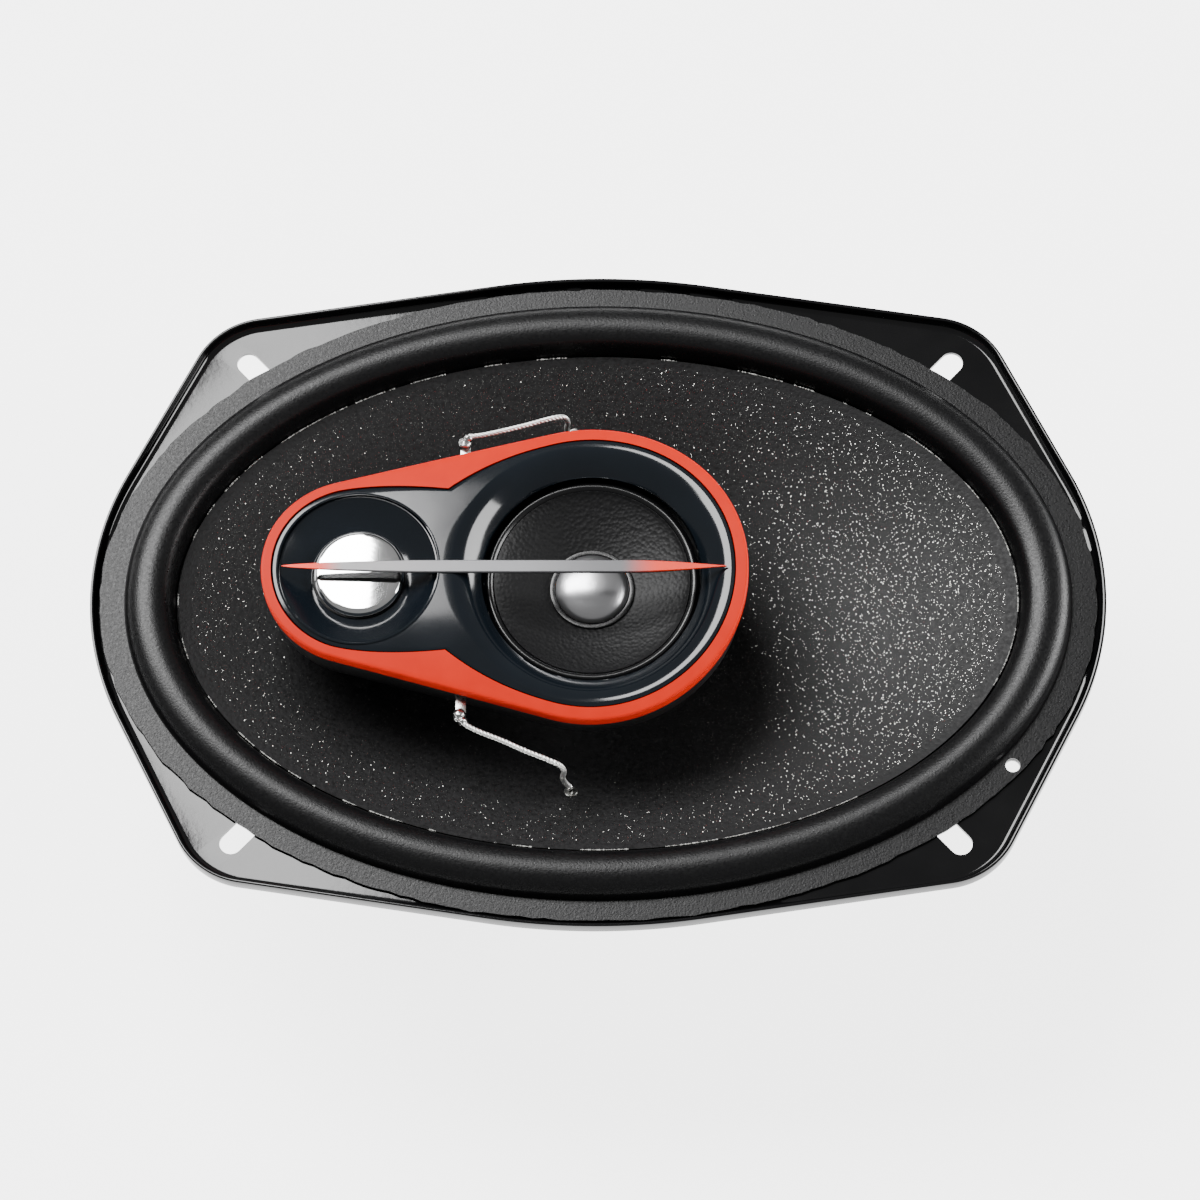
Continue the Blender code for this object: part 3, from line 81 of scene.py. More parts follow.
FLANGE_FRONT = RIM_TOP - RIM_RISE
FLANGE_REAR = FLANGE_FRONT - SHEET
FLOOR_Z = FRAME_LOW.z
FLOOR_TOP = FLOOR_Z + SHEET
# How far out and up the bowl's bends are, as shares of the way from ledge to opening
BOWL = ((0.965, 0.944), (0.85, 0.747), (0.53, 0.41), (0.16, 0.129))
LEDGE_R = 47 * MM
LEDGE_INNER_R = 41 * MM
FLOOR_R = 36.5 * MM
FLOOR_HOLE_R = 18 * MM
LEDGE_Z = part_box("spider")[0].z - GLUE_GAP
WINDOW_LOW, WINDOW_HIGH = 6.6 * MM, 11.0 * MM
WINDOW_CORNER = 4.0 * MM
# Middle and half width of each window, in degrees round the axis
WINDOWS = ((0, 19), (180, 19), (52.5, 22.5), (127.5, 22.5), (232.5, 22.5), (307.5, 22.5))
RIB_ANGLES = (24.5, 155.5, 204.5, 335.5)
RIB_HEIGHT = 0.8 * MM
LEAD_X = -5 * MM
LEAD_WINDOW = 6 * MM

# Cone and surround
BAND_A, BAND_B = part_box("surround")[1].xy
CONE_A, CONE_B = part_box("cone")[1].xy
ROLL_A, ROLL_B = BAND_A - 6.1 * MM, BAND_B - 5.1 * MM
ROLL_WIDTH = ROLL_A - CONE_A
ROLL_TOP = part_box("surround")[1].z
BAND_TOP = FLANGE_FRONT + 0.9 * MM
FOAM_T = 0.6 * MM
OPENING_A, OPENING_B = ROLL_A - GLUE_GAP, ROLL_B - GLUE_GAP
COIL_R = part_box("voice_coil_former")[1].x
NECK_R = COIL_R + GLUE_GAP
NECK_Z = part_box("voice_coil_former")[1].z - 1 * MM
CONE_T = 0.8 * MM
CONE_CURVE = 0.84

# Pod
MID_X = sum(corner.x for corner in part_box("midrange_dome")) / 2
TWEETER_X = sum(corner.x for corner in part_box("tweeter_dome")) / 2
POD_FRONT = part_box("pod_trim")[1].z
POD_MID_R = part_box("pod_trim")[1].x - MID_X
POD_TWEETER_R = TWEETER_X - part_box("pod_trim")[0].x
POD_BULGE = 4 * MM
POD_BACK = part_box("pod_post")[1].z + 7.3 * MM
TRIM_DEPTH = 3 * MM
TRIM_GAP = 0.3 * MM  # between trim and bezel
TRIM_MID = 2.9 * MM
TRIM_TWEETER = 2.3 * MM
WEDGE_AT = 0.48
WEDGE_WIDTH = 8.3 * MM
BEZEL_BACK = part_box("pod_bezel")[0].z
MID_BOWL_R = 32.4 * MM
MID_THROAT_R = 25.6 * MM
BOWL_DEPTH = 5.0 * MM
BOWL_FLARE = 1.6
TWEETER_BOWL_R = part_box("tweeter_bowl")[1].x - TWEETER_X
TWEETER_THROAT_R = 10.9 * MM
BAR_WIDTH = 3.0 * MM
BAR_T = 2.0 * MM
SHELL_TAPER = 0.6 * MM
MID_CAN_R = 27 * MM
TWEETER_CAN_R = 14 * MM

STEPS = 256  # round a big ring


# ---------------------------------------------------------------- nodes and meshes


def output_of(source):
    """A node's first output in use. A socket or a value stays as it is."""
    if isinstance(source, bpy.types.Node):
        return next(output for output in source.outputs if output.enabled)
    return source


def node(tree, kind, inputs=None, **settings):
    """Adds a node with its settings. An input is a value, or a node or socket that it is linked from."""
    made = tree.nodes.new(kind)
    for name, value in settings.items():
        setattr(made, name, value)
    for key, value in (inputs or {}).items():
        value = output_of(value)
        if isinstance(value, bpy.types.NodeSocket):
            tree.links.new(value, made.inputs[key])
        else:
            made.inputs[key].default_value = value
    return made


def maths(tree, operation, *values):
    """A Math node on values, sockets or nodes."""
    return node(tree, "ShaderNodeMath", dict(enumerate(values)), operation=operation)


def remap(tree, value, low, high, to_low=0.0, to_high=1.0, **settings):
    """A value carried from one range to another."""
    inputs = {"Value": value, 1: low, 2: high, 3: to_low, 4: to_high}
    return node(tree, "ShaderNodeMapRange", inputs, **settings)


def clouds(tree, place, size, detail):
    """Noise whose lumps are about size across."""
    return node(tree, "ShaderNodeTexNoise", {"Vector": place, "Scale": 1 / size, "Detail": detail})


def shades(tree, value, *stops):
    """A colour ramp between two stops, each a position and a colour."""
    made = node(tree, "ShaderNodeValToRGB", {"Fac": value})
    for element, (position, colour) in zip(made.color_ramp.elements, stops):
        element.position = position
        element.color = linear(colour)
    return made


def feed(tree, shader, key, source):
    """Links a node or socket to one of the shader's inputs."""
    tree.links.new(output_of(source), shader.inputs[key])


def linear(hex_colour):
    """An sRGB hex value as the linear RGBA that shaders take."""
    parts = [int(hex_colour[i : i + 2], 16) / 255 for i in (1, 3, 5)]
    return tuple(c / 12.92 if c <= 0.04045 else ((c + 0.055) / 1.055) ** 2.4 for c in parts) + (1.0,)


def placed(name, data):
    """A new object in the scene, at the origin."""
    obj = bpy.data.objects.new(name, data)
    bpy.context.scene.collection.objects.link(obj)
    return obj


def finished(name, mesh, material, smooth_below=35):
    """A piece at the origin from a mesh, with its faces outward."""
    obj = placed(name, mesh)
    if material:
        mesh.materials.clear()
        mesh.materials.append(material)
    mesh.shade_smooth()
    mesh.set_sharp_from_angle(angle=math.radians(smooth_below))
    return obj


def mesh_of(bm, name):
    """The bmesh as a new mesh."""
    mesh = bpy.data.meshes.new(name)
    bm.to_mesh(mesh)
    bm.free()
    return mesh


def mesh_from(bm, name):
    """The mesh with its faces turned outward."""
    bmesh.ops.recalc_face_normals(bm, faces=bm.faces)
    return mesh_of(bm, name)


def loft(name, rings, material, capped=False, smooth_below=35):
    """Quads between rings of equal count. Uncapped, the last ring joins the first one."""
    bm = bmesh.new()
    rows = [[bm.verts.new(point) for point in ring] for ring in rings]
    pairs = list(zip(rows, rows[1:]))
    if capped:
        bm.faces.new(rows[0])
        bm.faces.new(rows[-1])
    else:
        pairs.append((rows[-1], rows[0]))
    for low, high in pairs:
        for i in range(len(low)):
            j = (i + 1) % len(low)
            bm.faces.new((low[i], low[j], high[j], high[i]))
    return finished(name, mesh_from(bm, name), material, smooth_below)


def rounded(outline, radius, steps=4):
    """A closed outline with each corner turned into a short curve. Corners on the axis stay sharp."""
    made = []
    count = len(outline)
    for i, place in enumerate(outline):
        here = Vector(place)
        back = Vector(outline[i - 1]) - here
        ahead = Vector(outline[(i + 1) % count]) - here
        if here.x < 1e-6 or min(back.length, ahead.length) < 1e-7:
            made.append(here)
            continue
        cut = min(radius, back.length * 0.45, ahead.length * 0.45)
        start, end = here + back.normalized() * cut, here + ahead.normalized() * cut
        for step in range(steps + 1):
            t = step / steps
            made.append(start * (1 - t) ** 2 + here * 2 * t * (1 - t) + end * t**2)
    return made


def turned(name, outline, material, centre=(0, 0), radius=0.25 * MM, steps=96, place=None):
    """A closed outline of (radius, height) turned about Z, with its corners rounded."""
    bm = bmesh.new()
    rows = []
    for point in rounded(outline, radius):
        if point.x < 1e-6:
            rows.append([bm.verts.new((0, 0, point.y))])
            continue
        angles = [math.tau * i / steps for i in range(steps)]
        rows.append([bm.verts.new((point.x * math.cos(a), point.x * math.sin(a), point.y)) for a in angles])
    for low, high in zip(rows, rows[1:] + rows[:1]):
        if len(low) == 1 and len(high) == 1:
            continue
        for i in range(steps):
            j = (i + 1) % steps
            corners = [low[i % len(low)], low[j % len(low)], high[j % len(high)], high[i % len(high)]]
            bm.faces.new(list(dict.fromkeys(corners)))
    place = place or Matrix.Translation((centre[0], centre[1], 0))
    bmesh.ops.transform(bm, matrix=place, verts=bm.verts)
    return finished(name, mesh_from(bm, name), material)


def ring_outline(outer, inner, low, high):
    """A ring's section, for turned."""
    return [(outer, high), (outer, low), (inner, low), (inner, high)]


def disc_outline(radius, low, high):
    """A disc's section, for turned."""
    return [(0, high), (radius, high), (radius, low), (0, low)]


def outline_of(name, axis_x=0.0):
    """Outer radius, lowest and highest point of an imported round piece."""
    low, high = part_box(name)
    return high.x - axis_x, low.z, high.z


def turned_ring(piece, name, body, slot, material, bore, radius=0.25 * MM, axis_x=0.0):
    """A ring of the given bore in the place of an imported one."""
    outer, low, high = outline_of(name, axis_x)
    ring = turned(piece, ring_outline(outer, bore, low, high), material, (axis_x, 0), radius)
    stand_in(ring, body, slot, name)


def stand_in(obj, body, slot, *nodes):
    """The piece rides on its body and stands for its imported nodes."""
    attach(obj, body)
    if nodes:
        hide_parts(*nodes)
    return obj


def apply_modifiers(obj):
    """The object's evaluated mesh takes the place of its modifiers."""
    graph = bpy.context.evaluated_depsgraph_get()
    mesh = bpy.data.meshes.new_from_object(obj.evaluated_get(graph))
    obj.modifiers.clear()
    obj.data = mesh
    return obj


def cut(obj, cutters):
    """Takes one joined cutter of several closed bodies from a piece."""
    bm = bmesh.new()
    for cutter in cutters:
        bm.from_mesh(cutter.data)
        bpy.data.objects.remove(cutter)
    tool = finished("cutter", mesh_from(bm, "cutter"), None)
    step = obj.modifiers.new("cut", "BOOLEAN")
    step.object = tool
    step.solver = "EXACT"
    apply_modifiers(obj)
    bpy.data.objects.remove(tool)
    obj.data.shade_smooth()
    obj.data.set_sharp_from_angle(angle=math.radians(30))
    return obj


def grown(name, tree, source, body_values):
    """Runs a Geometry Nodes tree on a source object and keeps the result as a plain mesh."""
    step = source.modifiers.new("grow", "NODES")
    step.node_group = tree
    for item in tree.interface.items_tree:
        if item.item_type == "SOCKET" and item.in_out == "INPUT" and item.name in body_values:
            step[item.identifier] = body_values[item.name]
    graph = bpy.context.evaluated_depsgraph_get()
    mesh = bpy.data.meshes.new_from_object(source.evaluated_get(graph))
    mesh.name = name
    source.modifiers.remove(step)
    bpy.data.objects.remove(source)
    return placed(name, mesh)


def new_tree(name, values):
    """A Geometry Nodes tree with a geometry input and output and named inputs for its sizes."""
    tree = bpy.data.node_groups.new(name, "GeometryNodeTree")
    tree.interface.new_socket("Geometry", in_out="INPUT", socket_type="NodeSocketGeometry")
    tree.interface.new_socket("Geometry", in_out="OUTPUT", socket_type="NodeSocketGeometry")
    kinds = {float: "NodeSocketFloat", int: "NodeSocketInt", bpy.types.Material: "NodeSocketMaterial"}
    for key, value in values.items():
        socket = tree.interface.new_socket(key, in_out="INPUT", socket_type=kinds[type(value)])
        if not isinstance(value, bpy.types.Material):
            socket.default_value = value
    return tree, tree.nodes.new("NodeGroupInput").outputs


def close_tree(tree, geometry, material):
    """Ends a tree with Realize Instances and Set Material."""
    real = node(tree, "GeometryNodeRealizeInstances", {"Geometry": geometry})
    dressed = node(tree, "GeometryNodeSetMaterial", {"Geometry": real, "Material": material})
    node(tree, "NodeGroupOutput", {"Geometry": dressed})


def blend_round(obj):
    """Bakes the piece's place into its mesh and reads its points, which are not used further."""
    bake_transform(obj)
    count = len(obj.data.vertices)
    places = np.zeros(count * 3)
    obj.data.vertices.foreach_get("co", places)
    return obj


# ---------------------------------------------------------------- materials


def surface(name, colour, roughness, metallic=0.0, **values):
    """A Principled material, its tree, shader and Object coordinates."""
    made = bpy.data.materials.new(name)
    made.use_nodes = True
    tree = made.node_tree
    shader = tree.nodes["Principled BSDF"]
    shader.inputs["Base Color"].default_value = linear(colour)
    shader.inputs["Roughness"].default_value = roughness
    shader.inputs["Metallic"].default_value = metallic
    for key, value in values.items():
        shader.inputs[key].default_value = value
    place = node(tree, "ShaderNodeTexCoord").outputs["Object"]
    return made, tree, shader, place


def mottle(tree, shader, place, size, colours, spread, detail=4.0):
    """Cloudy variation of colour and roughness, about size across."""
    cloud = clouds(tree, place, size, detail)
    ramp = shades(tree, cloud, (0.3, colours[0]), (0.7, colours[1]))
    feed(tree, shader, "Base Color", ramp)
    rough = remap(tree, cloud, 0.3, 0.7, spread[0], spread[1])
    feed(tree, shader, "Roughness", rough)
    return ramp


def relief(tree, shader, height, depth, strength=1.0, under=None):
    """Bump of a real depth in metres from a height between 0 and 1."""
    inputs = {"Height": height, "Distance": depth, "Strength": strength}
    if under:
        inputs["Normal"] = under
    bump = node(tree, "ShaderNodeBump", inputs)
    tree.links.new(bump.outputs["Normal"], shader.inputs["Normal"])
    return bump.outputs["Normal"]


def lathe_lines(tree, place, pitch, wander):
    """Rings round Z at the given pitch. A wave's own bands are a twentieth of a unit apart."""
    values = {"Vector": place, "Scale": 1 / pitch / 20, "Distortion": wander}
    made = node(tree, "ShaderNodeTexWave", values, wave_type="RINGS", rings_direction="Z")
    return made.outputs["Fac"]


def black_enamel():
    """Stoved gloss enamel on pressed steel: mirror-like but with the faint waviness of sprayed paint."""
    made, tree, shader, place = surface("stoved_black_enamel_on_steel", "#0B0B0C", 0.08, IOR=1.5)
    mottle(tree, shader, place, 14 * MM, ("#070708", "#0B0B0C"), (0.06, 0.1))
    peel = clouds(tree, place, 1.6 * MM, 2.0)
    relief(tree, shader, peel, 0.006 * MM)
    return made


def surround_foam():
    """Moulded foam rubber: matte black with fine pores, scuffed grey where it lies flat on the frame."""
    dull = {"IOR": 1.5, "Specular IOR Level": 0.32}
    made, tree, shader, place = surface("moulded_foam_rubber", "#0C0C0D", 0.35, **dull)
    band = node(tree, "ShaderNodeAttribute", attribute_name="band")
    cloud = clouds(tree, place, 3.2 * MM, 6.0)
    scuff = clouds(tree, place, 0.7 * MM, 3.0)
    mixed = maths(tree, "MULTIPLY", cloud, scuff)
    flat = shades(tree, mixed, (0.16, "#090909"), (0.42, "#2E2E2E"))
    mixture = {0: band.outputs["Fac"], 6: linear("#0B0B0C"), 7: flat}
    blend = node(tree, "ShaderNodeMix", mixture, data_type="RGBA")
    feed(tree, shader, "Base Color", blend)
    rough = remap(tree, scuff, 0.3, 0.7, 0.26, 0.4)
    feed(tree, shader, "Roughness", rough)
    pores = clouds(tree, place, 0.45 * MM, 3.0)
    relief(tree, shader, pores, 0.05 * MM)
    return made


def mica_pulp():
    """Felted paper pulp dyed black: fibres give a dull, slightly flecked face."""
    dull = {"IOR": 1.5, "Specular IOR Level": 0.32}
    made, tree, shader, place = surface("felted_black_paper_pulp", "#121213", 0.55, **dull)
    fibre = clouds(tree, place, 0.9 * MM, 6.0)
    grain = shades(tree, fibre, (0.35, "#070708"), (0.72, "#161617"))
    feed(tree, shader, "Base Color", grain)
    rough = remap(tree, fibre, 0.3, 0.7, 0.48, 0.68)
    feed(tree, shader, "Roughness", rough)
    relief(tree, shader, fibre, 0.12 * MM)
    return made


def mica_flake():
    """Split mica: thin pearly plates that flash where they face a light."""
    made, _, _, _ = surface("split_mica_flake", "#BEBEBA", 0.2, 1.0)
    return made


def red_lacquer():
    """Red lacquer sprayed on moulded ABS: even satin colour with a soft sheen."""
    dull = {"IOR": 1.5, "Specular IOR Level": 0.12}
    made, tree, shader, place = surface("sprayed_red_lacquer", "#D02206", 0.42, **dull)
    mottle(tree, shader, place, 6 * MM, ("#CC2006", "#D42408"), (0.38, 0.46))
    peel = clouds(tree, place, 0.8 * MM, 2.0)
    relief(tree, shader, peel, 0.006 * MM)
    return made


def piano_black():
    """Moulded ABS polished in the tool: deep blue-black that mirrors the room, with faint hairlines."""
    made, tree, shader, place = surface("tool_polished_black_abs", "#0D1217", 0.1, IOR=1.53)
    mottle(tree, shader, place, 20 * MM, ("#0B1015", "#10161C"), (0.09, 0.13))
    flow = clouds(tree, place, 9 * MM, 1.0)
    relief(tree, shader, flow, 0.012 * MM)
    return made


def faded_bar_paint():
    """Satin silver paint with red sprayed over both ends, so the colour fades along the bar; its grey is
    darker towards +X. From 0.3 mm below the top downward the bar blends to black: painted shade under it.
    """
    made, tree, shader, place = surface("satin_silver_paint_red_fade_painted_underside_shade", "#A4A4A6", 0.38, 0.35)
    along = node(tree, "ShaderNodeSeparateXYZ", {"Vector": place})
    low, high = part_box("bridge_bar")
    reach = remap(tree, along.outputs["X"], low.x, high.x)
    fade = node(tree, "ShaderNodeValToRGB", {"Fac": reach})
    ramp = fade.color_ramp
    ramp.interpolation = "EASE"
    ramp.elements[0].position, ramp.elements[1].position = 0.0, 1.0
    ramp.elements[0].color = ramp.elements[1].color = linear("#DC2E08")
    stops = ((0.07, "#D8300F"), (0.14, "#848283"), (0.5, "#7A7A7C"), (0.76, "#5E5E60"), (0.86, "#D8300F"))
    for position, colour in stops:
        ramp.elements.new(position).color = linear(colour)
    # Painted shade: black from 0.7 mm below the top, blending up to the paint at 0.3 mm, stands in for the
    # shade under the bar.
    under = remap(tree, along.outputs["Z"], high.z - 0.7 * MM, high.z - 0.3 * MM)
    underside_painted_shade = node(tree, "ShaderNodeMix", {0: under, 6: linear("#0A0A0B"), 7: fade}, data_type="RGBA")
    feed(tree, shader, "Base Color", underside_painted_shade)
    grit = clouds(tree, place, 0.4 * MM, 2.0)
    relief(tree, shader, grit, 0.006 * MM)
    return made


def mirror_film():
    """Polyester film with evaporated aluminium: a clean mirror."""
    made, tree, shader, place = surface("aluminised_polyester_film", "#FAFAFA", 0.05, 1.0)
    ripple = clouds(tree, place, 5 * MM, 1.0)
    relief(tree, shader, ripple, 0.01 * MM)
    return made


def spun_dome():
    """Drawn aluminium foil, lightly brushed round: silver with a soft highlight."""
    made, tree, shader, place = surface("drawn_aluminium_foil", "#D2D2D4", 0.28, 1.0)
    centred = node(tree, "ShaderNodeMapping", {"Vector": place, "Location": (-MID_X, 0, 0)})
    relief(tree, shader, lathe_lines(tree, centred, 0.35 * MM, 0.6), 0.004 * MM)
    return made


def dimpled_paper():
    """Pressed paper with leather-like dimples about a millimetre apart."""
    dull = {"IOR": 1.5, "Specular IOR Level": 0.3}
    made, tree, shader, place = surface("pressed_dimpled_paper", "#0E0E0F", 0.5, **dull)
    cells = node(tree, "ShaderNodeTexVoronoi", {"Vector": place, "Scale": 1 / (0.9 * MM)})
    cells.feature = "SMOOTH_F1"
    cells.inputs["Smoothness"].default_value = 0.4
    under = relief(tree, shader, cells.outputs["Distance"], 0.12 * MM)
    fibre = clouds(tree, place, 0.35 * MM, 3.0)
    relief(tree, shader, fibre, 0.02 * MM, under=under)
    return made


def moulded_abs():
    """ABS moulded in a spark-eroded tool: even fine grain, dull black."""
    made, tree, shader, place = surface("spark_eroded_black_abs", "#111113", 0.48, IOR=1.53)
    mottle(tree, shader, place, 10 * MM, ("#0F0F11", "#141416"), (0.44, 0.54))
    grit = clouds(tree, place, 0.5 * MM, 3.0)
    relief(tree, shader, grit, 0.03 * MM)
    return made


def zinc_plate():
    """Zinc plated and passivated steel: blue-grey metal with cloudy patches and fine turning lines."""
    made, tree, shader, place = surface("passivated_zinc_plate", "#B4B7B8", 0.34, 1.0)
    mottle(tree, shader, place, 7 * MM, ("#A3A6A6", "#C0C2BF"), (0.26, 0.42))
    relief(tree, shader, lathe_lines(tree, place, 0.5 * MM, 0.4), 0.004 * MM)
    return made


def sintered_ferrite():
    """Pressed and sintered ferrite: charcoal ceramic with a dry, sandy face."""
    made, tree, shader, place = surface("sintered_ferrite", "#313133", 0.72, IOR=1.6)
    mottle(tree, shader, place, 5 * MM, ("#2A2A2C", "#39393B"), (0.62, 0.8))
    sand = clouds(tree, place, 0.6 * MM, 5.0)
    relief(tree, shader, sand, 0.08 * MM)
    return made


def spider_cloth():
    """Cotton cloth stiffened with phenolic resin: golden brown open weave, 0.9 mm thread spacing."""
    made, tree, shader, place = surface("resin_stiffened_cotton", "#A8822F", 0.8)
    parts = node(tree, "ShaderNodeSeparateXYZ", {"Vector": place})
    waves = []
    for axis in ("X", "Y"):
        turn = maths(tree, "MULTIPLY", parts.outputs[axis], math.tau / (0.9 * MM))
        waves.append(maths(tree, "SINE", turn))
    weave = maths(tree, "MULTIPLY", waves[0], waves[1])
    height = remap(tree, weave, -1.0, 1.0)
    ramp = shades(tree, height, (0.0, "#7C5C1F"), (1.0, "#C09A45"))
    feed(tree, shader, "Base Color", ramp)
    relief(tree, shader, height, 0.15 * MM)
    return made


def plain_metal(name, colour, roughness, patch):
    """Small plated or drawn metal part with faint cloudy tarnish."""
    made, tree, shader, place = surface(name, colour, roughness, 1.0)
    cloud = clouds(tree, place, patch, 3.0)
    rough = remap(tree, cloud, 0.3, 0.7, roughness * 0.8, roughness * 1.25)
    feed(tree, shader, "Roughness", rough)
    relief(tree, shader, cloud, 0.02 * MM)
    return made


def wound_copper():
    """Enamelled copper wire in close turns, 0.35 mm apart: glossy ribbed orange metal."""
    made, tree, shader, place = surface("enamelled_copper_winding", "#B5622E", 0.28, 1.0)
    parts = node(tree, "ShaderNodeSeparateXYZ", {"Vector": place})
    turn = maths(tree, "MULTIPLY", parts.outputs["Z"], math.tau / (0.35 * MM))
    wave = maths(tree, "SINE", turn)
    height = remap(tree, wave, -1.0, 1.0)
    relief(tree, shader, height, 0.1 * MM)
    return made


def dull_black(name, colour, roughness, grain, depth):
    """Felt, PVC and sleeve: a dyed dull material with its own grain."""
    made, tree, shader, place = surface(name, colour, roughness)
    lump = clouds(tree, place, grain, 5.0)
    relief(tree, shader, lump, depth)
    return made


ENAMEL = black_enamel()
FOAM = surround_foam()
PULP = mica_pulp()
FLAKE = mica_flake()
RED = red_lacquer()
PIANO = piano_black()
BAR = faded_bar_paint()
MIRROR = mirror_film()
SPUN = spun_dome()
PAPER = dimpled_paper()
ABS = moulded_abs()
ZINC = zinc_plate()
FERRITE = sintered_ferrite()
CLOTH = spider_cloth()
COPPER = wound_copper()
TIN = plain_metal("hot_tinned_brass", "#C4C4C0", 0.28, 1.2 * MM)
BRASS = plain_metal("stamped_brass_strip", "#C9A24E", 0.3, 2.5 * MM)
NICKEL = plain_metal("bright_nickel_plate", "#C8C2B4", 0.22, 3 * MM)
BRAID = plain_metal("silvered_copper_tinsel", "#FAFAF7", 0.45, 0.5 * MM)
SOLDER = plain_metal("tin_lead_solder", "#C9C9C7", 0.24, 0.9 * MM)
FELT = dull_black("pressed_black_felt", "#0F0F10", 0.95, 0.4 * MM, 0.15 * MM)
PVC = dull_black("extruded_black_pvc", "#101012", 0.42, 1.5 * MM, 0.02 * MM)
SLEEVE = dull_black("shrunk_blue_sleeve", "#16205A", 0.35, 2 * MM, 0.02 * MM)
BOARD = dull_black("phenolic_paper_board", "#5A3218", 0.5, 1.2 * MM, 0.03 * MM)
KAPTON = dull_black("amber_polyimide_film", "#A2560F", 0.25, 3 * MM, 0.01 * MM)
GLUE = dull_black("dried_white_glue", "#CFCFCB", 0.3, 0.6 * MM, 0.04 * MM)
GREY_RUBBER = dull_black("thin_butyl_roll", "#0C0C0D", 0.24, 0.7 * MM, 0.015 * MM)


# ---------------------------------------------------------------- frame


def arc(centre, radius, start, end, steps):
    """Points on an arc, both ends included."""
    angles = [start + (end - start) * i / steps for i in range(steps + 1)]
    return [centre + Vector((math.cos(a), math.sin(a))) * radius for a in angles]


def straight(start, end, steps):
    """Points between two ends, without the ends."""
    return [start.lerp(end, i / steps) for i in range(1, steps)]


def flange_corner():
    """Centre of the corner arc, a corner radius inside both leaning sides."""
    end_normal = Vector((math.cos(END_LEAN), math.sin(END_LEAN)))
    long_normal = Vector((math.sin(LONG_LEAN), math.cos(LONG_LEAN)))
    end_at = end_normal.x * (HALF_LENGTH - END_R) + END_R - CORNER_R
    long_at = long_normal.y * (HALF_WIDTH - LONG_R) + LONG_R - CORNER_R
    cross = end_normal.x * long_normal.y - end_normal.y * long_normal.x
    x = (end_at * long_normal.y - long_at * end_normal.y) / cross
    y = (long_at * end_normal.x - end_at * long_normal.x) / cross
    return Vector((x, y))


def flange_outline(inset):
    """Once round the flange, from +X: end arc, leaning side, corner and long arc, four times mirrored."""
    long_start = math.pi / 2 - LONG_LEAN
    end = arc(Vector((HALF_LENGTH - END_R, 0)), END_R - inset, 0, END_LEAN, 14)
    corner = arc(flange_corner(), CORNER_R - inset, END_LEAN, long_start, 18)
    long_side = arc(Vector((0, HALF_WIDTH - LONG_R)), LONG_R - inset, long_start, math.pi / 2, 10)
    quarter = end + straight(end[-1], corner[0], 9) + corner
    quarter += straight(corner[-1], long_side[0], 14) + long_side
    mirrored = [Vector((-p.x, p.y)) for p in reversed(quarter[:-1])]
    half = quarter + mirrored
    return half + [Vector((p.x, -p.y)) for p in reversed(half[1:-1])]


OUTLINE = flange_outline(0)
FACING = [math.atan2(p.y / HALF_WIDTH, p.x / HALF_LENGTH) for p in OUTLINE]


def flange_ring(inset, z):
    """The flange's outline at a height, moved in by inset."""
    return [(p.x, p.y, z) for p in flange_outline(inset)]


def basket_ring(a, b, z, rib=0.0):
    """An ellipse whose points face those of the flange outline, pushed out by a rib on each narrow spoke."""
    ring = []
    for t in FACING:
        turn = math.atan2(b * math.sin(t), a * math.cos(t))
        off = min(abs(math.remainder(turn - math.radians(at), math.tau)) for at in RIB_ANGLES)
        push = rib * math.exp(-((off / math.radians(2.2)) ** 2))
        ring.append(((a + push) * math.cos(t), (b + push) * math.sin(t), z))
    return ring


def bowl_levels():
    """Half length, half width and height of the basket's inside, from the opening down to the ledge."""
    shares = ((1.0, 1.0),) + BOWL + ((0.0, 0.0),)
    levels = []
    for (out_a, up_a), (out_b, up_b) in zip(shares, shares[1:]):
        for step in range(1, 5):
            t = step / 4
            out, up = out_a + (out_b - out_a) * t, up_a + (up_b - up_a) * t
            a = LEDGE_R + (OPENING_A - LEDGE_R) * out
            b = LEDGE_R + (OPENING_B - LEDGE_R) * out
            levels.append((a, b, LEDGE_Z + (FLANGE_FRONT - LEDGE_Z) * up, math.sin(math.pi * up)))
    return levels


def prism(name, outline, low, high):
    """A closed body with one outline from low to high."""
    bm = bmesh.new()
    base = bm.faces.new([bm.verts.new((p[0], p[1], low)) for p in outline])
    raised = bmesh.ops.extrude_face_region(bm, geom=[base])["geom"]
    corners = [item for item in raised if isinstance(item, bmesh.types.BMVert)]
    bmesh.ops.translate(bm, verts=corners, vec=(0, 0, high - low))
    return finished(name, mesh_from(bm, name), None)


def circle(x, y, radius, steps):
    """Points round a circle."""
    angles = [math.tau * i / steps for i in range(steps)]
    return [(x + radius * math.cos(a), y + radius * math.sin(a)) for a in angles]


def slot_tools():
    """Cutters for the four mounting slots, one towards each corner."""
    outer = Vector((HALF_LENGTH - SLOT_FROM_END, HALF_WIDTH - SLOT_FROM_SIDE))
    inner = outer - Vector((math.cos(SLOT_TURN), math.sin(SLOT_TURN))) * SLOT_LENGTH
    tools = []
    for side_x in (1, -1):
        for side_y in (1, -1):
            start = Vector((outer.x * side_x, outer.y * side_y))
            end = Vector((inner.x * side_x, inner.y * side_y))
            turn = math.atan2(end.y - start.y, end.x - start.x)
            outline = arc(start, SLOT_WIDTH / 2, turn + math.pi / 2, turn + math.pi * 1.5, 14)
            outline += arc(end, SLOT_WIDTH / 2, turn - math.pi / 2, turn + math.pi / 2, 14)
            tools.append(prism("slot", outline, FLANGE_REAR - SHEET, FLANGE_FRONT + SHEET))
    return tools


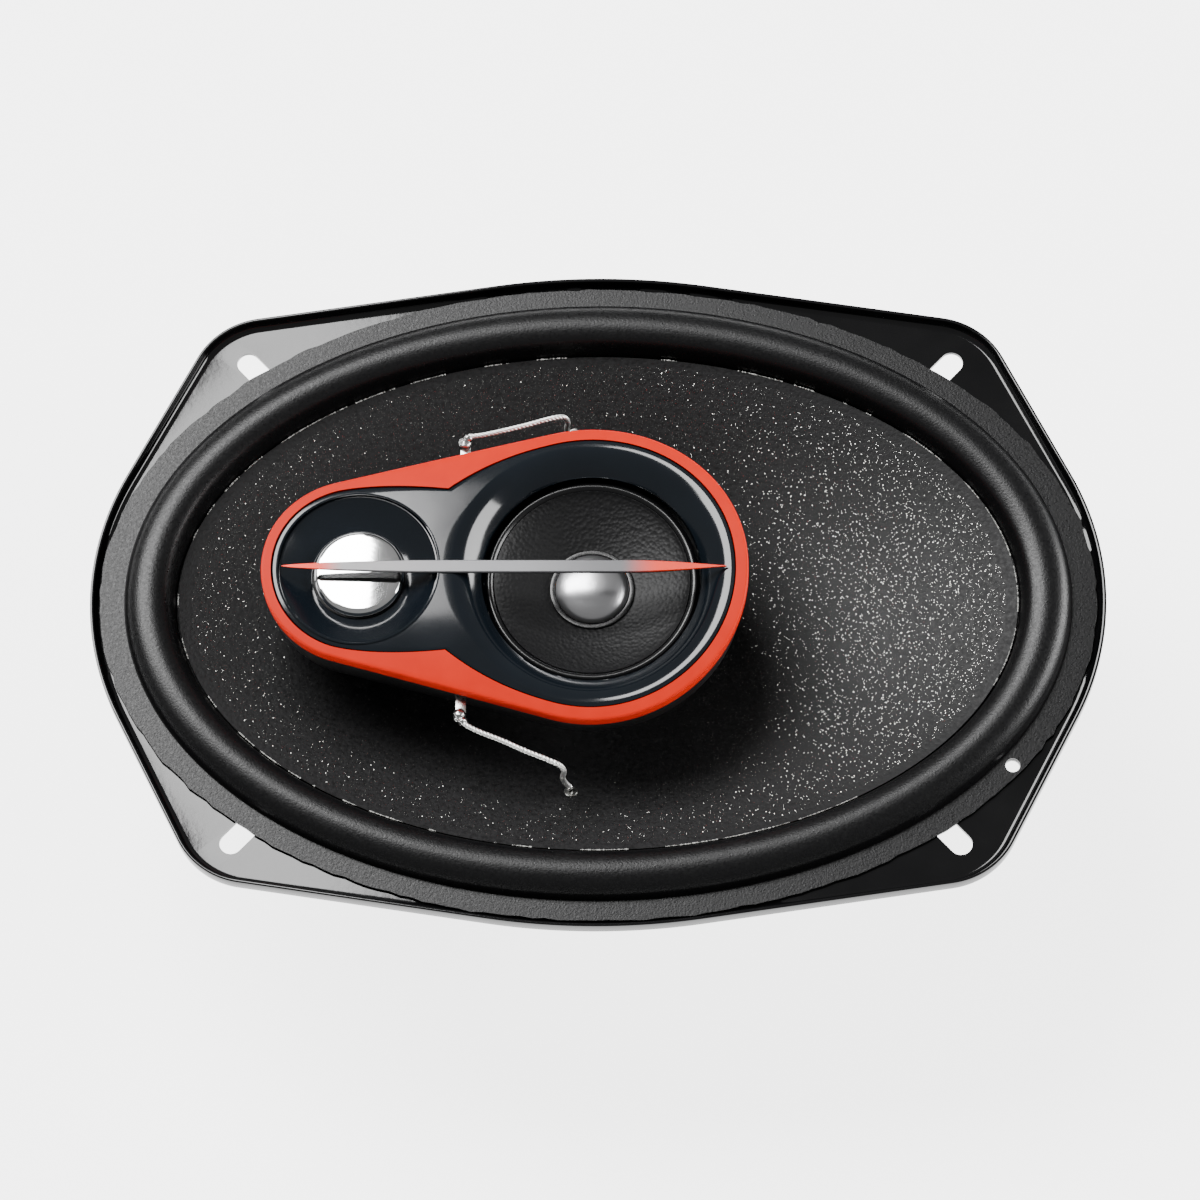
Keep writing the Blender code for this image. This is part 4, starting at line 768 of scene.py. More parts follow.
def window_tool(at, half_angle):
    """A wedge that opens from the axis, with its four long edges rounded."""
    near, far = LEDGE_INNER_R * 0.7, HALF_LENGTH
    low, high = LEDGE_Z + WINDOW_LOW, FLANGE_FRONT - WINDOW_HIGH
    bm = bmesh.new()
    bmesh.ops.create_cube(bm, size=2)
    for vert in bm.verts:
        reach = near if vert.co.x < 0 else far
        side = vert.co.y * reach * math.tan(half_angle)
        vert.co = Vector((reach, side, low if vert.co.z < 0 else high))
    long_edges = [e for e in bm.edges if abs(e.verts[0].co.x - e.verts[1].co.x) > MM]
    bmesh.ops.bevel(bm, geom=long_edges, offset=WINDOW_CORNER, segments=6, profile=0.5, affect="EDGES")
    bmesh.ops.rotate(bm, verts=bm.verts, cent=(0, 0, 0), matrix=Matrix.Rotation(at, 3, "Z"))
    return finished("window", mesh_from(bm, "window"), None)


def lead_window_tool(side):
    """Cutter for the small window that a rear lead comes out of."""
    out, up = BOWL[1]
    b = LEDGE_R + (OPENING_B - LEDGE_R) * out
    z = LEDGE_Z + (FLANGE_FRONT - LEDGE_Z) * up
    ends = sorted((side * (b - 3 * LEAD_WINDOW / 2), side * (b + LEAD_WINDOW)))
    left, right = LEAD_X - LEAD_WINDOW / 2, LEAD_X + LEAD_WINDOW / 2
    outline = [(left, ends[0]), (right, ends[0]), (right, ends[1]), (left, ends[1])]
    return prism("lead_window", outline, z - LEAD_WINDOW, z - LEAD_WINDOW / 3)


def pin_tool():
    """Cutter for the hole beside the lower right corner."""
    return prism("pin", circle(PIN_HOLE.x, PIN_HOLE.y, PIN_HOLE_R, 32), FLANGE_REAR - MM, RIM_TOP)


def build_frame():
    """The pressing in one loft: rim, flange, inside of the basket, then its outside back up to the rim."""
    wall, edge = RIM_ROUND, RIM_ROUND * 0.3
    front = [flange_ring(0, RIM_TOP - wall), flange_ring(edge, RIM_TOP - edge)]
    front += [flange_ring(wall, RIM_TOP), flange_ring(RIM_WALL - wall, RIM_TOP)]
    front += [flange_ring(RIM_WALL - edge, RIM_TOP - edge), flange_ring(RIM_WALL, RIM_TOP - wall)]
    for step in range(9):
        turn = math.pi / 2 * step / 8
        inset = RIM_WALL + RIM_FILLET * (1 - math.cos(turn))
        front.append(flange_ring(inset, FLANGE_FRONT + RIM_FILLET * (1 - math.sin(turn))))
    inside = [basket_ring(OPENING_A + wall, OPENING_B + wall, FLANGE_FRONT)]
    inside.append(basket_ring(OPENING_A, OPENING_B, FLANGE_FRONT - wall))
    inside += [basket_ring(a, b, z, RIB_HEIGHT * lift) for a, b, z, lift in bowl_levels()]
    under = LEDGE_INNER_R + SHEET
    round_part = (
        (LEDGE_INNER_R + wall, LEDGE_Z),
        (LEDGE_INNER_R, LEDGE_Z - wall),
        (FLOOR_R + wall, FLOOR_TOP + wall * 2),
        (FLOOR_R - wall, FLOOR_TOP),
        (FLOOR_HOLE_R, FLOOR_TOP),
        (FLOOR_HOLE_R, FLOOR_Z),
        (FLOOR_R, FLOOR_Z),
        (FLOOR_R + SHEET * 0.9, FLOOR_Z + SHEET * 0.4),
        (under, LEDGE_Z - SHEET * 1.2),
        (under + wall, LEDGE_Z - SHEET),
    )
    neck = [basket_ring(radius, radius, z) for radius, z in round_part]
    outside = []
    for a, b, z, lift in reversed(bowl_levels()[:-1]):
        outside.append(basket_ring(a + SHEET * 0.8, b + SHEET * 0.8, z - SHEET * 0.65, RIB_HEIGHT * lift))
    outside.append(basket_ring(OPENING_A + SHEET, OPENING_B + SHEET, FLANGE_REAR))
    outside += [flange_ring(wall, FLANGE_REAR), flange_ring(0, FLANGE_REAR + wall)]
    piece = loft("frame_pressing", front + inside + neck + outside, ENAMEL)
    tools = slot_tools()
    tools.append(pin_tool())
    tools += [window_tool(math.radians(at), math.radians(half)) for at, half in WINDOWS]
    tools += [lead_window_tool(side) for side in (1, -1)]
    cut(piece, tools)
    stand_in(piece, "basket", "black_painted_steel", "frame")


# ---------------------------------------------------------------- woofer


def cone_height(share):
    """Height of the cone's face a share of the way from neck to edge."""
    return NECK_Z + (FLANGE_FRONT - NECK_Z) * share**CONE_CURVE


def cone_ring(share, drop):
    """A ring of the cone, below its face by drop."""
    a = NECK_R + (CONE_A - NECK_R) * share
    b = NECK_R + (CONE_B - NECK_R) * share
    angles = [math.tau * i / STEPS for i in range(STEPS)]
    return [(a * math.cos(t), b * math.sin(t), cone_height(share) - drop) for t in angles]


def build_cone():
    """The paper cone, curved like a horn from the coil to the surround."""
    shares = [i / 28 for i in range(29)]
    front = [cone_ring(share, 0) for share in shares]
    back = [cone_ring(share, CONE_T) for share in reversed(shares)]
    piece = loft("cone_paper", front + back, PULP)
    stand_in(piece, "woofer", "mica_paper_pulp", "cone")


def flake_tree():
    """Scatters tilted flat grains over a surface."""
    values = {"Per Area": 1.0, "Grain": 1.0, "Tilt": 1.0, "Seed": 0, "Material": FLAKE}
    tree, given = new_tree("mica_scatter", values)
    density = {"Mesh": given["Geometry"], "Density": given["Per Area"], "Seed": given["Seed"]}
    points = node(tree, "GeometryNodeDistributePointsOnFaces", density)
    grain = node(tree, "GeometryNodeMeshCircle", {"Vertices": 4, "Radius": given["Grain"]}, fill_type="NGON")
    low = maths(tree, "MULTIPLY", given["Tilt"], -1.0)
    unit = {0: (0, 0, 0), 1: (1, 1, 1), "Seed": given["Seed"]}
    tilt = node(tree, "FunctionNodeRandomValue", unit, data_type="FLOAT_VECTOR")
    span = {"Vector": tilt, 7: (0, 0, 0), 8: (1, 1, 1), 9: low, 10: given["Tilt"]}
    spread = node(tree, "ShaderNodeMapRange", span, data_type="FLOAT_VECTOR")
    turned_to = node(tree, "FunctionNodeEulerToRotation", {0: spread.outputs["Vector"]})
    lean = {"Rotation": points.outputs["Rotation"], "Rotate By": turned_to}
    facing = node(tree, "FunctionNodeRotateRotation", lean, rotation_space="LOCAL")
    size = node(tree, "FunctionNodeRandomValue", {2: 0.5, 3: 1.5, "Seed": given["Seed"]}, data_type="FLOAT")
    copies = {"Points": points, "Instance": grain, "Rotation": facing, "Scale": size.outputs[1]}
    close_tree(tree, node(tree, "GeometryNodeInstanceOnPoints", copies), given["Material"])
    return tree


def build_flakes():
    """Mica in the pulp: real grains, a tenth of a millimetre over the cone's face."""
    shares = [i / 28 for i in range(1, 28)]
    rows = [cone_ring(share, -0.1 * MM) for share in shares]
    bm = bmesh.new()
    verts = [[bm.verts.new(point) for point in row] for row in rows]
    for low, high in zip(verts, verts[1:]):
        for i in range(STEPS):
            j = (i + 1) % STEPS
            bm.faces.new((low[i], low[j], high[j], high[i]))
    for face in bm.faces:
        face.normal_update()
        if face.normal.z < 0:
            face.normal_flip()
    source = placed("cone_face", mesh_of(bm, "cone_face"))
    values = {"Per Area": 3000000.0, "Grain": 0.072 * MM, "Tilt": 0.3, "Seed": 4, "Material": FLAKE}
    piece = grown("mica_grains", flake_tree(), source, values)
    stand_in(piece, "woofer", "mica_paper_pulp")


SURROUND_SIZES = {
    "Cone Half Length": CONE_A + 0.4 * MM,
    "Cone Half Width": CONE_B + 0.4 * MM,
    "Roll Width": ROLL_WIDTH - 0.4 * MM,
    "Roll Rise": ROLL_TOP - BAND_TOP,
    "Band Length": BAND_A - ROLL_A,
    "Band Width": BAND_B - ROLL_B,
    "Band Height": BAND_TOP,
    "Foot Drop": 1.9 * MM,
    "Ragged": 0.9 * MM,
}


def surround_tree():
    """A grid bent into an oval half roll with a flat band outside it and a lip inside it."""
    values = dict.fromkeys(SURROUND_SIZES, 1.0) | {"Seed": 0, "Material": FOAM}
    tree, given = new_tree("half_roll_surround", values)
    counts = {"Size X": 1.0, "Size Y": 1.0, "Vertices X": STEPS + 1, "Vertices Y": 61}
    grid = node(tree, "GeometryNodeMeshGrid", counts)
    spot = node(tree, "ShaderNodeSeparateXYZ", {"Vector": node(tree, "GeometryNodeInputPosition")})
    turn = maths(tree, "MULTIPLY", spot.outputs["X"], math.tau)
    across = maths(tree, "ADD", spot.outputs["Y"], 0.5)
    lip = remap(tree, across, 0.0, 0.1, -1.0, 0.0)
    roll = remap(tree, across, 0.1, 0.8)
    band = remap(tree, across, 0.8, 1.0)
    half_turn = maths(tree, "MULTIPLY", roll, math.pi)
    lean = maths(tree, "COSINE", half_turn)
    forward = remap(tree, lean, 1.0, -1.0)
    over = maths(tree, "MULTIPLY", forward, given["Roll Width"])
    inward = maths(tree, "MULTIPLY", lip, given["Roll Width"])
    inward = maths(tree, "MULTIPLY", inward, 0.35)
    offset = maths(tree, "ADD", over, inward)
    cosine = maths(tree, "COSINE", turn)
    sine = maths(tree, "SINE", turn)
    around = node(tree, "ShaderNodeCombineXYZ", {"X": cosine, "Y": sine})
    tears = {"Vector": around, "Scale": 26.0, "Detail": 6.0, "W": given["Seed"]}
    rough = node(tree, "ShaderNodeTexNoise", tears, noise_dimensions="4D")
    torn = remap(tree, rough, 0.35, 0.75, 0.0, -1.0)
    edge = maths(tree, "POWER", band, 8.0)
    nibble = maths(tree, "MULTIPLY", torn, edge)
    nibble = maths(tree, "MULTIPLY", nibble, given["Ragged"])
    offset = maths(tree, "ADD", offset, nibble)
    halves = []
    for cone_half, band_size, wave in (
        ("Cone Half Length", "Band Length", cosine),
        ("Cone Half Width", "Band Width", sine),
    ):
        reach = maths(tree, "MULTIPLY_ADD", band, given[band_size], given[cone_half])
        reach = maths(tree, "ADD", reach, offset)
        halves.append(maths(tree, "MULTIPLY", reach, wave))
    arch = maths(tree, "SINE", half_turn)
    rise = maths(tree, "MULTIPLY_ADD", arch, given["Roll Rise"], given["Band Height"])
    foot = remap(tree, across, 0.1, 0.3, 1.0, 0.0, interpolation_type="SMOOTHSTEP")
    sunk = maths(tree, "MULTIPLY", foot, given["Foot Drop"])
    slope = maths(tree, "MULTIPLY", inward, 0.28)
    height = maths(tree, "SUBTRACT", rise, sunk)
    height = maths(tree, "ADD", height, slope)
    place = node(tree, "ShaderNodeCombineXYZ", {"X": halves[0], "Y": halves[1], "Z": height})
    bent = node(tree, "GeometryNodeSetPosition", {"Geometry": grid.outputs["Mesh"], "Position": place})
    closed = node(tree, "GeometryNodeMergeByDistance", {"Geometry": bent, "Distance": 0.001 * MM})
    stored = {"Geometry": closed, "Name": "band", "Value": band}
    marked = node(tree, "GeometryNodeStoreNamedAttribute", stored, data_type="FLOAT", domain="POINT")
    close_tree(tree, marked, given["Material"])
    return tree


def build_surround():
    """The foam half roll and its band, bent from a grid and thickened, between basket and woofer."""
    source = placed("surround_source", bpy.data.meshes.new("surround_source"))
    values = SURROUND_SIZES | {"Seed": 3, "Material": FOAM}
    piece = grown("surround_roll", surround_tree(), source, values)
    shell = piece.modifiers.new("thickness", "SOLIDIFY")
    shell.thickness = FOAM_T
    shell.offset = -1 if piece.data.polygons[0].normal.z > 0 else 1
    apply_modifiers(piece)
    bm = bmesh.new()
    bm.from_mesh(piece.data)
    bmesh.ops.recalc_face_normals(bm, faces=bm.faces)
    bm.to_mesh(piece.data)
    bm.free()
    cut(piece, [pin_tool()])
    piece.data.materials.clear()
    piece.data.materials.append(FOAM)
    blend_round(piece)
    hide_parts("surround")


def glue_tree():
    """Small flat beads along a line, some of them missing."""
    values = {"Spacing": 1.0, "Bead": 1.0, "Missing": 0.5, "Seed": 0, "Material": GLUE}
    tree, given = new_tree("broken_glue_line", values)
    line = node(tree, "GeometryNodeMeshToCurve", {"Mesh": given["Geometry"]})
    steps = {"Curve": line, "Length": given["Spacing"]}
    spaced = node(tree, "GeometryNodeResampleCurve", steps, mode="LENGTH")
    points = node(tree, "GeometryNodeCurveToPoints", {"Curve": spaced}, mode="EVALUATED")
    where = node(tree, "GeometryNodeInputPosition")
    patch = clouds(tree, where, 7 * MM, 3.0)
    limit = {0: patch, 1: given["Missing"]}
    gone = node(tree, "FunctionNodeCompare", limit, operation="LESS_THAN", data_type="FLOAT")
    kept = node(tree, "GeometryNodeDeleteGeometry", {"Geometry": points.outputs["Points"], "Selection": gone})
    bead = node(tree, "GeometryNodeMeshIcoSphere", {"Radius": given["Bead"], "Subdivisions": 1})
    size = node(tree, "FunctionNodeRandomValue", {2: 0.4, 3: 1.3, "Seed": given["Seed"]}, data_type="FLOAT")
    beads = {"Points": kept, "Instance": bead, "Scale": size.outputs[1]}
    close_tree(tree, node(tree, "GeometryNodeInstanceOnPoints", beads), given["Material"])
    return tree


def build_glue_line():
    """Dried glue squeezed out where the surround meets the cone."""
    bm = bmesh.new()
    ring = [bm.verts.new((x, y, z)) for x, y, z in cone_ring(1.0, -0.05 * MM)]
    for i in range(STEPS):
        bm.edges.new((ring[i], ring[(i + 1) % STEPS]))
    source = placed("cone_edge", mesh_of(bm, "cone_edge"))
    values = {"Spacing": 0.35 * MM, "Bead": 0.17 * MM, "Missing": 0.5, "Seed": 7, "Material": GLUE}
    piece = grown("cone_glue_line", glue_tree(), source, values)
    stand_in(piece, "woofer", "surround_foam")


def build_coil():
    """The coil's former, its winding and the felt ring that keeps dust out."""
    for piece, name, slot, material, bore, edge in (
        ("coil_former_tube", "voice_coil_former", "kapton", KAPTON, COIL_R - 0.3 * MM, 0.1 * MM),
        ("coil_winding", "voice_coil", "enamelled_copper", COPPER, COIL_R + 0.05 * MM, 0.15 * MM),
        ("felt_ring", "dust_ring", "black_felt", FELT, 6.0 * MM, 0.5 * MM),
    ):
        turned_ring(piece, name, "woofer", slot, material, bore, edge)


def build_spider():
    """Three waves between the former and the ledge."""
    inner, flat = COIL_R + 0.1 * MM, LEDGE_INNER_R
    outer, low, high = outline_of("spider")
    rise, thick = high - low - 0.5 * MM, 0.5 * MM
    count = 60

    def wave(i, lift):
        share = i / count
        return inner + (flat - inner) * share, low + lift + rise * (1 - math.cos(math.tau * 3 * share)) / 2

    top = [(outer, low + thick)] + [wave(i, thick) for i in range(count, -1, -1)]
    below = [wave(i, 0) for i in range(count + 1)] + [(outer, low)]
    piece = turned("spider_cloth_disc", top + below, CLOTH, radius=0.05 * MM)
    blend_round(piece)
    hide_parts("spider")


# ---------------------------------------------------------------- motor and post


def build_motor():
    """Yoke with its pole, ring magnet and top plate."""
    outer, low, high = outline_of("yoke")
    plate, pole, bore = 6 * MM, 12.3 * MM, 4.3 * MM
    recess, floor = 9 * MM, 4 * MM
    outline = [(pole, high), (pole, plate), (outer, plate), (outer, low)]
    outline += [(recess, low), (recess, floor), (bore, floor), (bore, high)]
    stand_in(turned("yoke_forging", outline, ZINC, radius=0.9 * MM), "basket", "zinc_plated_steel", "yoke")
    turned_ring("magnet_ring", "magnet", "basket", "ferrite", FERRITE, 24 * MM, 0.9 * MM)
    coil_gap = COIL_R + 1.3 * MM
    turned_ring("top_plate_disc", "top_plate", "basket", "zinc_plated_steel", ZINC, coil_gap, 0.6 * MM)


def head_tree():
    """Copies of one fastener at given points."""
    sizes = dict.fromkeys(("Head", "Rise", "Shank", "Depth"), 1.0)
    tree, given = new_tree("fasteners", sizes | {"Material": ZINC})
    counts = {"Vertices": 32, "Side Segments": 1, "Fill Segments": 6}
    solid = counts | {"Radius": given["Head"], "Depth": given["Rise"]}
    body = node(tree, "GeometryNodeMeshCylinder", solid)
    spot = node(tree, "ShaderNodeSeparateXYZ", {"Vector": node(tree, "GeometryNodeInputPosition")})
    flat = node(tree, "ShaderNodeCombineXYZ", {"X": spot.outputs["X"], "Y": spot.outputs["Y"]})
    reach = node(tree, "ShaderNodeVectorMath", {0: flat}, operation="LENGTH")
    share = maths(tree, "DIVIDE", reach.outputs["Value"], given["Head"])
    curve = maths(tree, "POWER", share, 3.0)
    above = maths(tree, "GREATER_THAN", spot.outputs["Z"], 0.0)
    fall = maths(tree, "MULTIPLY", curve, given["Rise"])
    fall = maths(tree, "MULTIPLY", fall, -0.6)
    fall = maths(tree, "MULTIPLY", fall, above)
    move = node(tree, "ShaderNodeCombineXYZ", {"Z": fall})
    domed = node(tree, "GeometryNodeSetPosition", {"Geometry": body.outputs["Mesh"], "Offset": move})
    lift = maths(tree, "MULTIPLY", given["Rise"], 0.5)
    raised = {"Geometry": domed, "Translation": node(tree, "ShaderNodeCombineXYZ", {"Z": lift})}
    head = node(tree, "GeometryNodeTransform", raised)
    solid = {"Vertices": 20, "Radius": given["Shank"], "Depth": given["Depth"]}
    stem = node(tree, "GeometryNodeMeshCylinder", solid)
    sink = maths(tree, "MULTIPLY", given["Depth"], -0.5)
    lowered = {"Geometry": stem, "Translation": node(tree, "ShaderNodeCombineXYZ", {"Z": sink})}
    shank = node(tree, "GeometryNodeTransform", lowered)
    whole = tree.nodes.new("GeometryNodeJoinGeometry")
    tree.links.new(head.outputs[0], whole.inputs[0])
    tree.links.new(shank.outputs[0], whole.inputs[0])
    copies = node(tree, "GeometryNodeInstanceOnPoints", {"Points": given["Geometry"], "Instance": whole})
    close_tree(tree, copies, given["Material"])
    return tree


def fasteners(name, places, tree, values, flip=False):
    """Equal fasteners with the underside of their heads at Seat, turned head down by flip."""
    mesh = bpy.data.meshes.new(name)
    mesh.from_pydata([(x, y, 0) for x, y in places], [], [])
    piece = grown(name, tree, placed(name + "_points", mesh), values)
    bm = bmesh.new()
    bm.from_mesh(piece.data)
    if flip:
        bmesh.ops.rotate(bm, verts=bm.verts, cent=(0, 0, 0), matrix=Matrix.Rotation(math.pi, 3, "X"))
    bmesh.ops.translate(bm, verts=bm.verts, vec=(0, 0, values["Seat"]))
    bmesh.ops.recalc_face_normals(bm, faces=bm.faces)
    bm.to_mesh(piece.data)
    bm.free()
    piece.data.shade_smooth()
    piece.data.set_sharp_from_angle(angle=math.radians(40))
    return piece


def centre_of(name):
    """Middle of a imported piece, seen along Z."""
    low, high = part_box(name)
    return (low.x + high.x) / 2, (low.y + high.y) / 2


def build_fasteners():
    """The basket's four rivets and the pod's four screws."""
    tree = head_tree()
    rivets = [f"basket_rivet_{i}" for i in range(1, 5)]
    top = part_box(rivets[0])[1].z
    values = {"Head": 2.6 * MM, "Rise": 1.0 * MM, "Shank": 1.4 * MM, "Depth": 4 * MM}
    values.update({"Material": ZINC, "Seat": top - MM})
    piece = fasteners("basket_rivets", [centre_of(n) for n in rivets], tree, values)
    stand_in(piece, "basket", "zinc_plated_steel", *rivets)
    screws = [f"pod_screw_{i}" for i in range(1, 5)]
    low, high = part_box(screws[0])
    places = [(x, -y) for x, y in map(centre_of, screws)]
    values = {"Head": 2.2 * MM, "Rise": 1.5 * MM, "Shank": 1.2 * MM, "Depth": high.z - low.z - 1.6 * MM}
    values.update({"Material": ZINC, "Seat": low.z + 1.5 * MM})
    piece = fasteners("pod_screws", places, tree, values, flip=True)
    stand_in(piece, "basket", "zinc_plated_steel", *screws)


def build_post():
    """The pod's post with the washer and the cross-head screw that hold it under the yoke."""
    low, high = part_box("pod_post")
    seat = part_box("yoke")[1].z + 0.3 * MM
    spigot, shaft, stem, shoulder = 3 * MM, 5.5 * MM, 4 * MM, high.z - 1.5 * MM
    outline = [(0, high.z), (spigot, high.z), (spigot, shoulder), (shaft, shoulder)]
    outline += [(shaft, seat), (stem, seat), (stem, low.z), (0, low.z)]
    stand_in(turned("post_moulding", outline, ABS, radius=0.3 * MM), "basket", "black_plastic", "pod_post")
    turned_ring("washer_ring", "post_washer", "basket", "zinc_plated_steel", ZINC, 2.3 * MM, 0.2 * MM)
    low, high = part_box("post_screw")
    head = low.z + 2.2 * MM
    outline = [(0, high.z), (2 * MM, high.z), (2 * MM, head), (3.8 * MM, head), (3.5 * MM, low.z), (0, low.z)]
    screw = turned("post_bolt", outline, ZINC, radius=0.4 * MM, steps=48)
    reach, slot = 2.1 * MM, 0.45 * MM
    for x, y in ((reach, slot), (slot, reach)):
        corners = [(-x, -y), (x, -y), (x, y), (-x, y)]
        cut(screw, [prism("cross", corners, low.z - MM, low.z + 1.4 * MM)])
    stand_in(screw, "basket", "zinc_plated_steel", "post_screw")


# ---------------------------------------------------------------- pod


def wedge_width(share):
    """Width of the trim along the flank, from the tweeter's end to the midrange's."""
    if share < WEDGE_AT:
        return TRIM_TWEETER + (WEDGE_WIDTH - TRIM_TWEETER) * (share / WEDGE_AT) ** 1.6
    return TRIM_MID + (WEDGE_WIDTH - TRIM_MID) * ((1 - share) / (1 - WEDGE_AT)) ** 2.2


def pod_outline():
    """Once round the pod: point, outward direction and width of the trim there."""
    lean = math.asin((POD_MID_R - POD_TWEETER_R) / (MID_X - TWEETER_X))
    turn = math.pi / 2 + lean
    flank = Vector((math.cos(turn), math.sin(turn)))
    start = Vector((TWEETER_X, 0)) + flank * POD_TWEETER_R
    end = Vector((MID_X, 0)) + flank * POD_MID_R
    left = [i / 16 * WEDGE_AT for i in range(1, 16)]
    right = [WEDGE_AT + (1 - WEDGE_AT) * i / 16 for i in range(16)]
    wedge = [(start.lerp(end, share), flank, wedge_width(share)) for share in left + right]

    def round_end(centre_x, radius, first, last, steps, width):
        centre = Vector((centre_x, 0))
        points = arc(centre, radius, first, last, steps)
        return [(p, (p - centre).normalized(), width) for p in points]

    big = round_end(MID_X, POD_MID_R, -turn, turn, 110, TRIM_MID)
    small = round_end(TWEETER_X, POD_TWEETER_R, turn, math.tau - turn, 60, TRIM_TWEETER)
    lower = [(Vector((p.x, -p.y)), Vector((n.x, -n.y)), w) for p, n, w in wedge]
    return big + wedge[::-1] + small + lower


POD_OUTLINE = pod_outline()


def pod_crown(y):
    """Height of the pod's front, which falls away towards its long edges."""
    return POD_FRONT - POD_BULGE * (y / POD_MID_R) ** 2


def pod_ring(inset, drop=0.0, trim=0.0, z=None):
    """The pod's edge moved in by inset and a share of the trim's width, below the crowned front or at z."""
    ring = []
    for point, outward, width in POD_OUTLINE:
        place = point - outward * (inset + width * trim)
        ring.append((place.x, place.y, pod_crown(place.y) - drop if z is None else z))
    return ring


def build_trim():
    """The red ring, with both its front edges rounded."""
    edge = 0.45 * MM
    rings = []
    for step in range(5):
        turn = math.pi / 2 * step / 4
        rings.append(pod_ring(edge * (1 - math.cos(turn)), drop=edge * (1 - math.sin(turn))))
    for share in (0.2, 0.4, 0.6, 0.8):
        rings.append(pod_ring(edge * 0.5, drop=0, trim=share))
    inner = 0.25 * MM
    for step in range(4):
        turn = math.pi / 2 * step / 3
        rings.append(pod_ring(inner * math.cos(turn) - inner, drop=inner * (1 - math.cos(turn)), trim=1))
    rings.append(pod_ring(0, drop=TRIM_DEPTH, trim=1))
    rings.append(pod_ring(0, drop=TRIM_DEPTH))
    piece = loft("pod_trim_ring", rings, RED, smooth_below=50)
    stand_in(piece, "basket", "red_paint", "pod_trim")


def bezel_ring(radius, drop):
    """A ring round the midrange's axis on the same rays as the pod's edge."""
    ring = []
    for x, y, _ in pod_ring(TRIM_GAP, trim=1):
        ray = Vector((x - MID_X, y)).normalized()
        spot = Vector((MID_X, 0)) + ray * radius
        ring.append((spot.x, spot.y, pod_crown(spot.y) - drop))
    return ring


def bezel_mix(share, drop):
    """A ring a share of the way from the bowl's edge to the trim."""
    inner, outer = bezel_ring(MID_BOWL_R, 0), pod_ring(TRIM_GAP, trim=1)
    ring = []
    for a, b in zip(inner, outer):
        x, y = a[0] + (b[0] - a[0]) * share, a[1] + (b[1] - a[1]) * share
        ring.append((x, y, pod_crown(y) - drop))
    return ring


def build_bezel():
    """Crowned front with the midrange's flared bowl sunk in it and a pocket for the tweeter's bowl."""
    rings = [pod_ring(TRIM_GAP, z=BEZEL_BACK, trim=1), bezel_mix(1.0, 0.5 * MM), bezel_mix(0.995, 0.3 * MM)]
    rings += [bezel_mix(share, 0.25 * MM) for share in (0.97, 0.85, 0.7, 0.55, 0.4, 0.28, 0.18, 0.1, 0.05)]
    for i in range(25):
        t = i / 24
        drop = 0.25 * MM + BOWL_DEPTH * t**BOWL_FLARE
        rings.append(bezel_ring(MID_BOWL_R + (MID_THROAT_R - MID_BOWL_R) * t, drop))
    throat = [(x, y, BEZEL_BACK + 0.8 * MM) for x, y, _ in bezel_ring(MID_THROAT_R - 0.15 * MM, 0)]
    back = [(x, y, BEZEL_BACK) for x, y, _ in bezel_ring(MID_THROAT_R, 0)]
    piece = loft("pod_bezel_moulding", rings + [throat, back], PIANO, smooth_below=50)
    pocket = circle(TWEETER_X, 0, TWEETER_BOWL_R + 0.15 * MM, 128)
    cut(piece, [prism("pocket", pocket, BEZEL_BACK - MM, POD_FRONT + MM)])
    stand_in(piece, "basket", "gloss_black_plastic", "pod_bezel")


def build_bowl_lip():
    """Fine bead round the tweeter's pocket, following the crowned front."""
    rings = []
    for step in range(8):
        turn = math.tau * step / 8
        radius = TWEETER_BOWL_R + 0.05 * MM + 0.28 * MM * math.cos(turn)
        rise = 0.28 * MM * math.sin(turn) - 0.2 * MM
        ring = [(x, y, pod_crown(y) + rise) for x, y in circle(TWEETER_X, 0, radius, 128)]
        rings.append(ring)
    piece = loft("tweeter_pocket_bead", rings, PIANO)
    stand_in(piece, "basket", "gloss_black_plastic")


def build_shell():
    """The tapered housing behind the trim, with a room inside and a can behind each driver."""
    slope = SHELL_TAPER
    top = TRIM_DEPTH + 0.3 * MM
    rings = [
        pod_ring(3 * slope + 0.8 * MM, z=POD_BACK),
        pod_ring(3 * slope + 0.2 * MM, z=POD_BACK + 0.2 * MM),
        pod_ring(3 * slope, z=POD_BACK + 0.8 * MM),
        pod_ring(2 * slope, z=POD_BACK + 3 * MM),
        pod_ring(slope, drop=top),
        pod_ring(slope + 1.2 * MM, drop=top),
    ]
    piece = loft("pod_shell_wall", rings, ABS, capped=True)
    cans = []
    for name, x, radius, low in (
        ("midrange_can", MID_X, MID_CAN_R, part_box("pod_shell")[0].z),
        ("tweeter_can", TWEETER_X, TWEETER_CAN_R, POD_BACK - 2.5 * MM),
    ):
        cans.append(turned(name, disc_outline(radius, low, POD_BACK + MM), ABS, (x, 0), 1.2 * MM))
    inner = [pod_ring(3 * slope + 2 * MM, z=POD_BACK + 0.9 * MM), pod_ring(slope + 1.2 * MM, z=POD_FRONT)]
    hollow = loft("pod_room", inner, None, capped=True)
    cut(piece, [hollow])
    stand_in(piece, "basket", "black_plastic", "pod_shell")
    for can in cans:
        stand_in(can, "basket", "black_plastic")


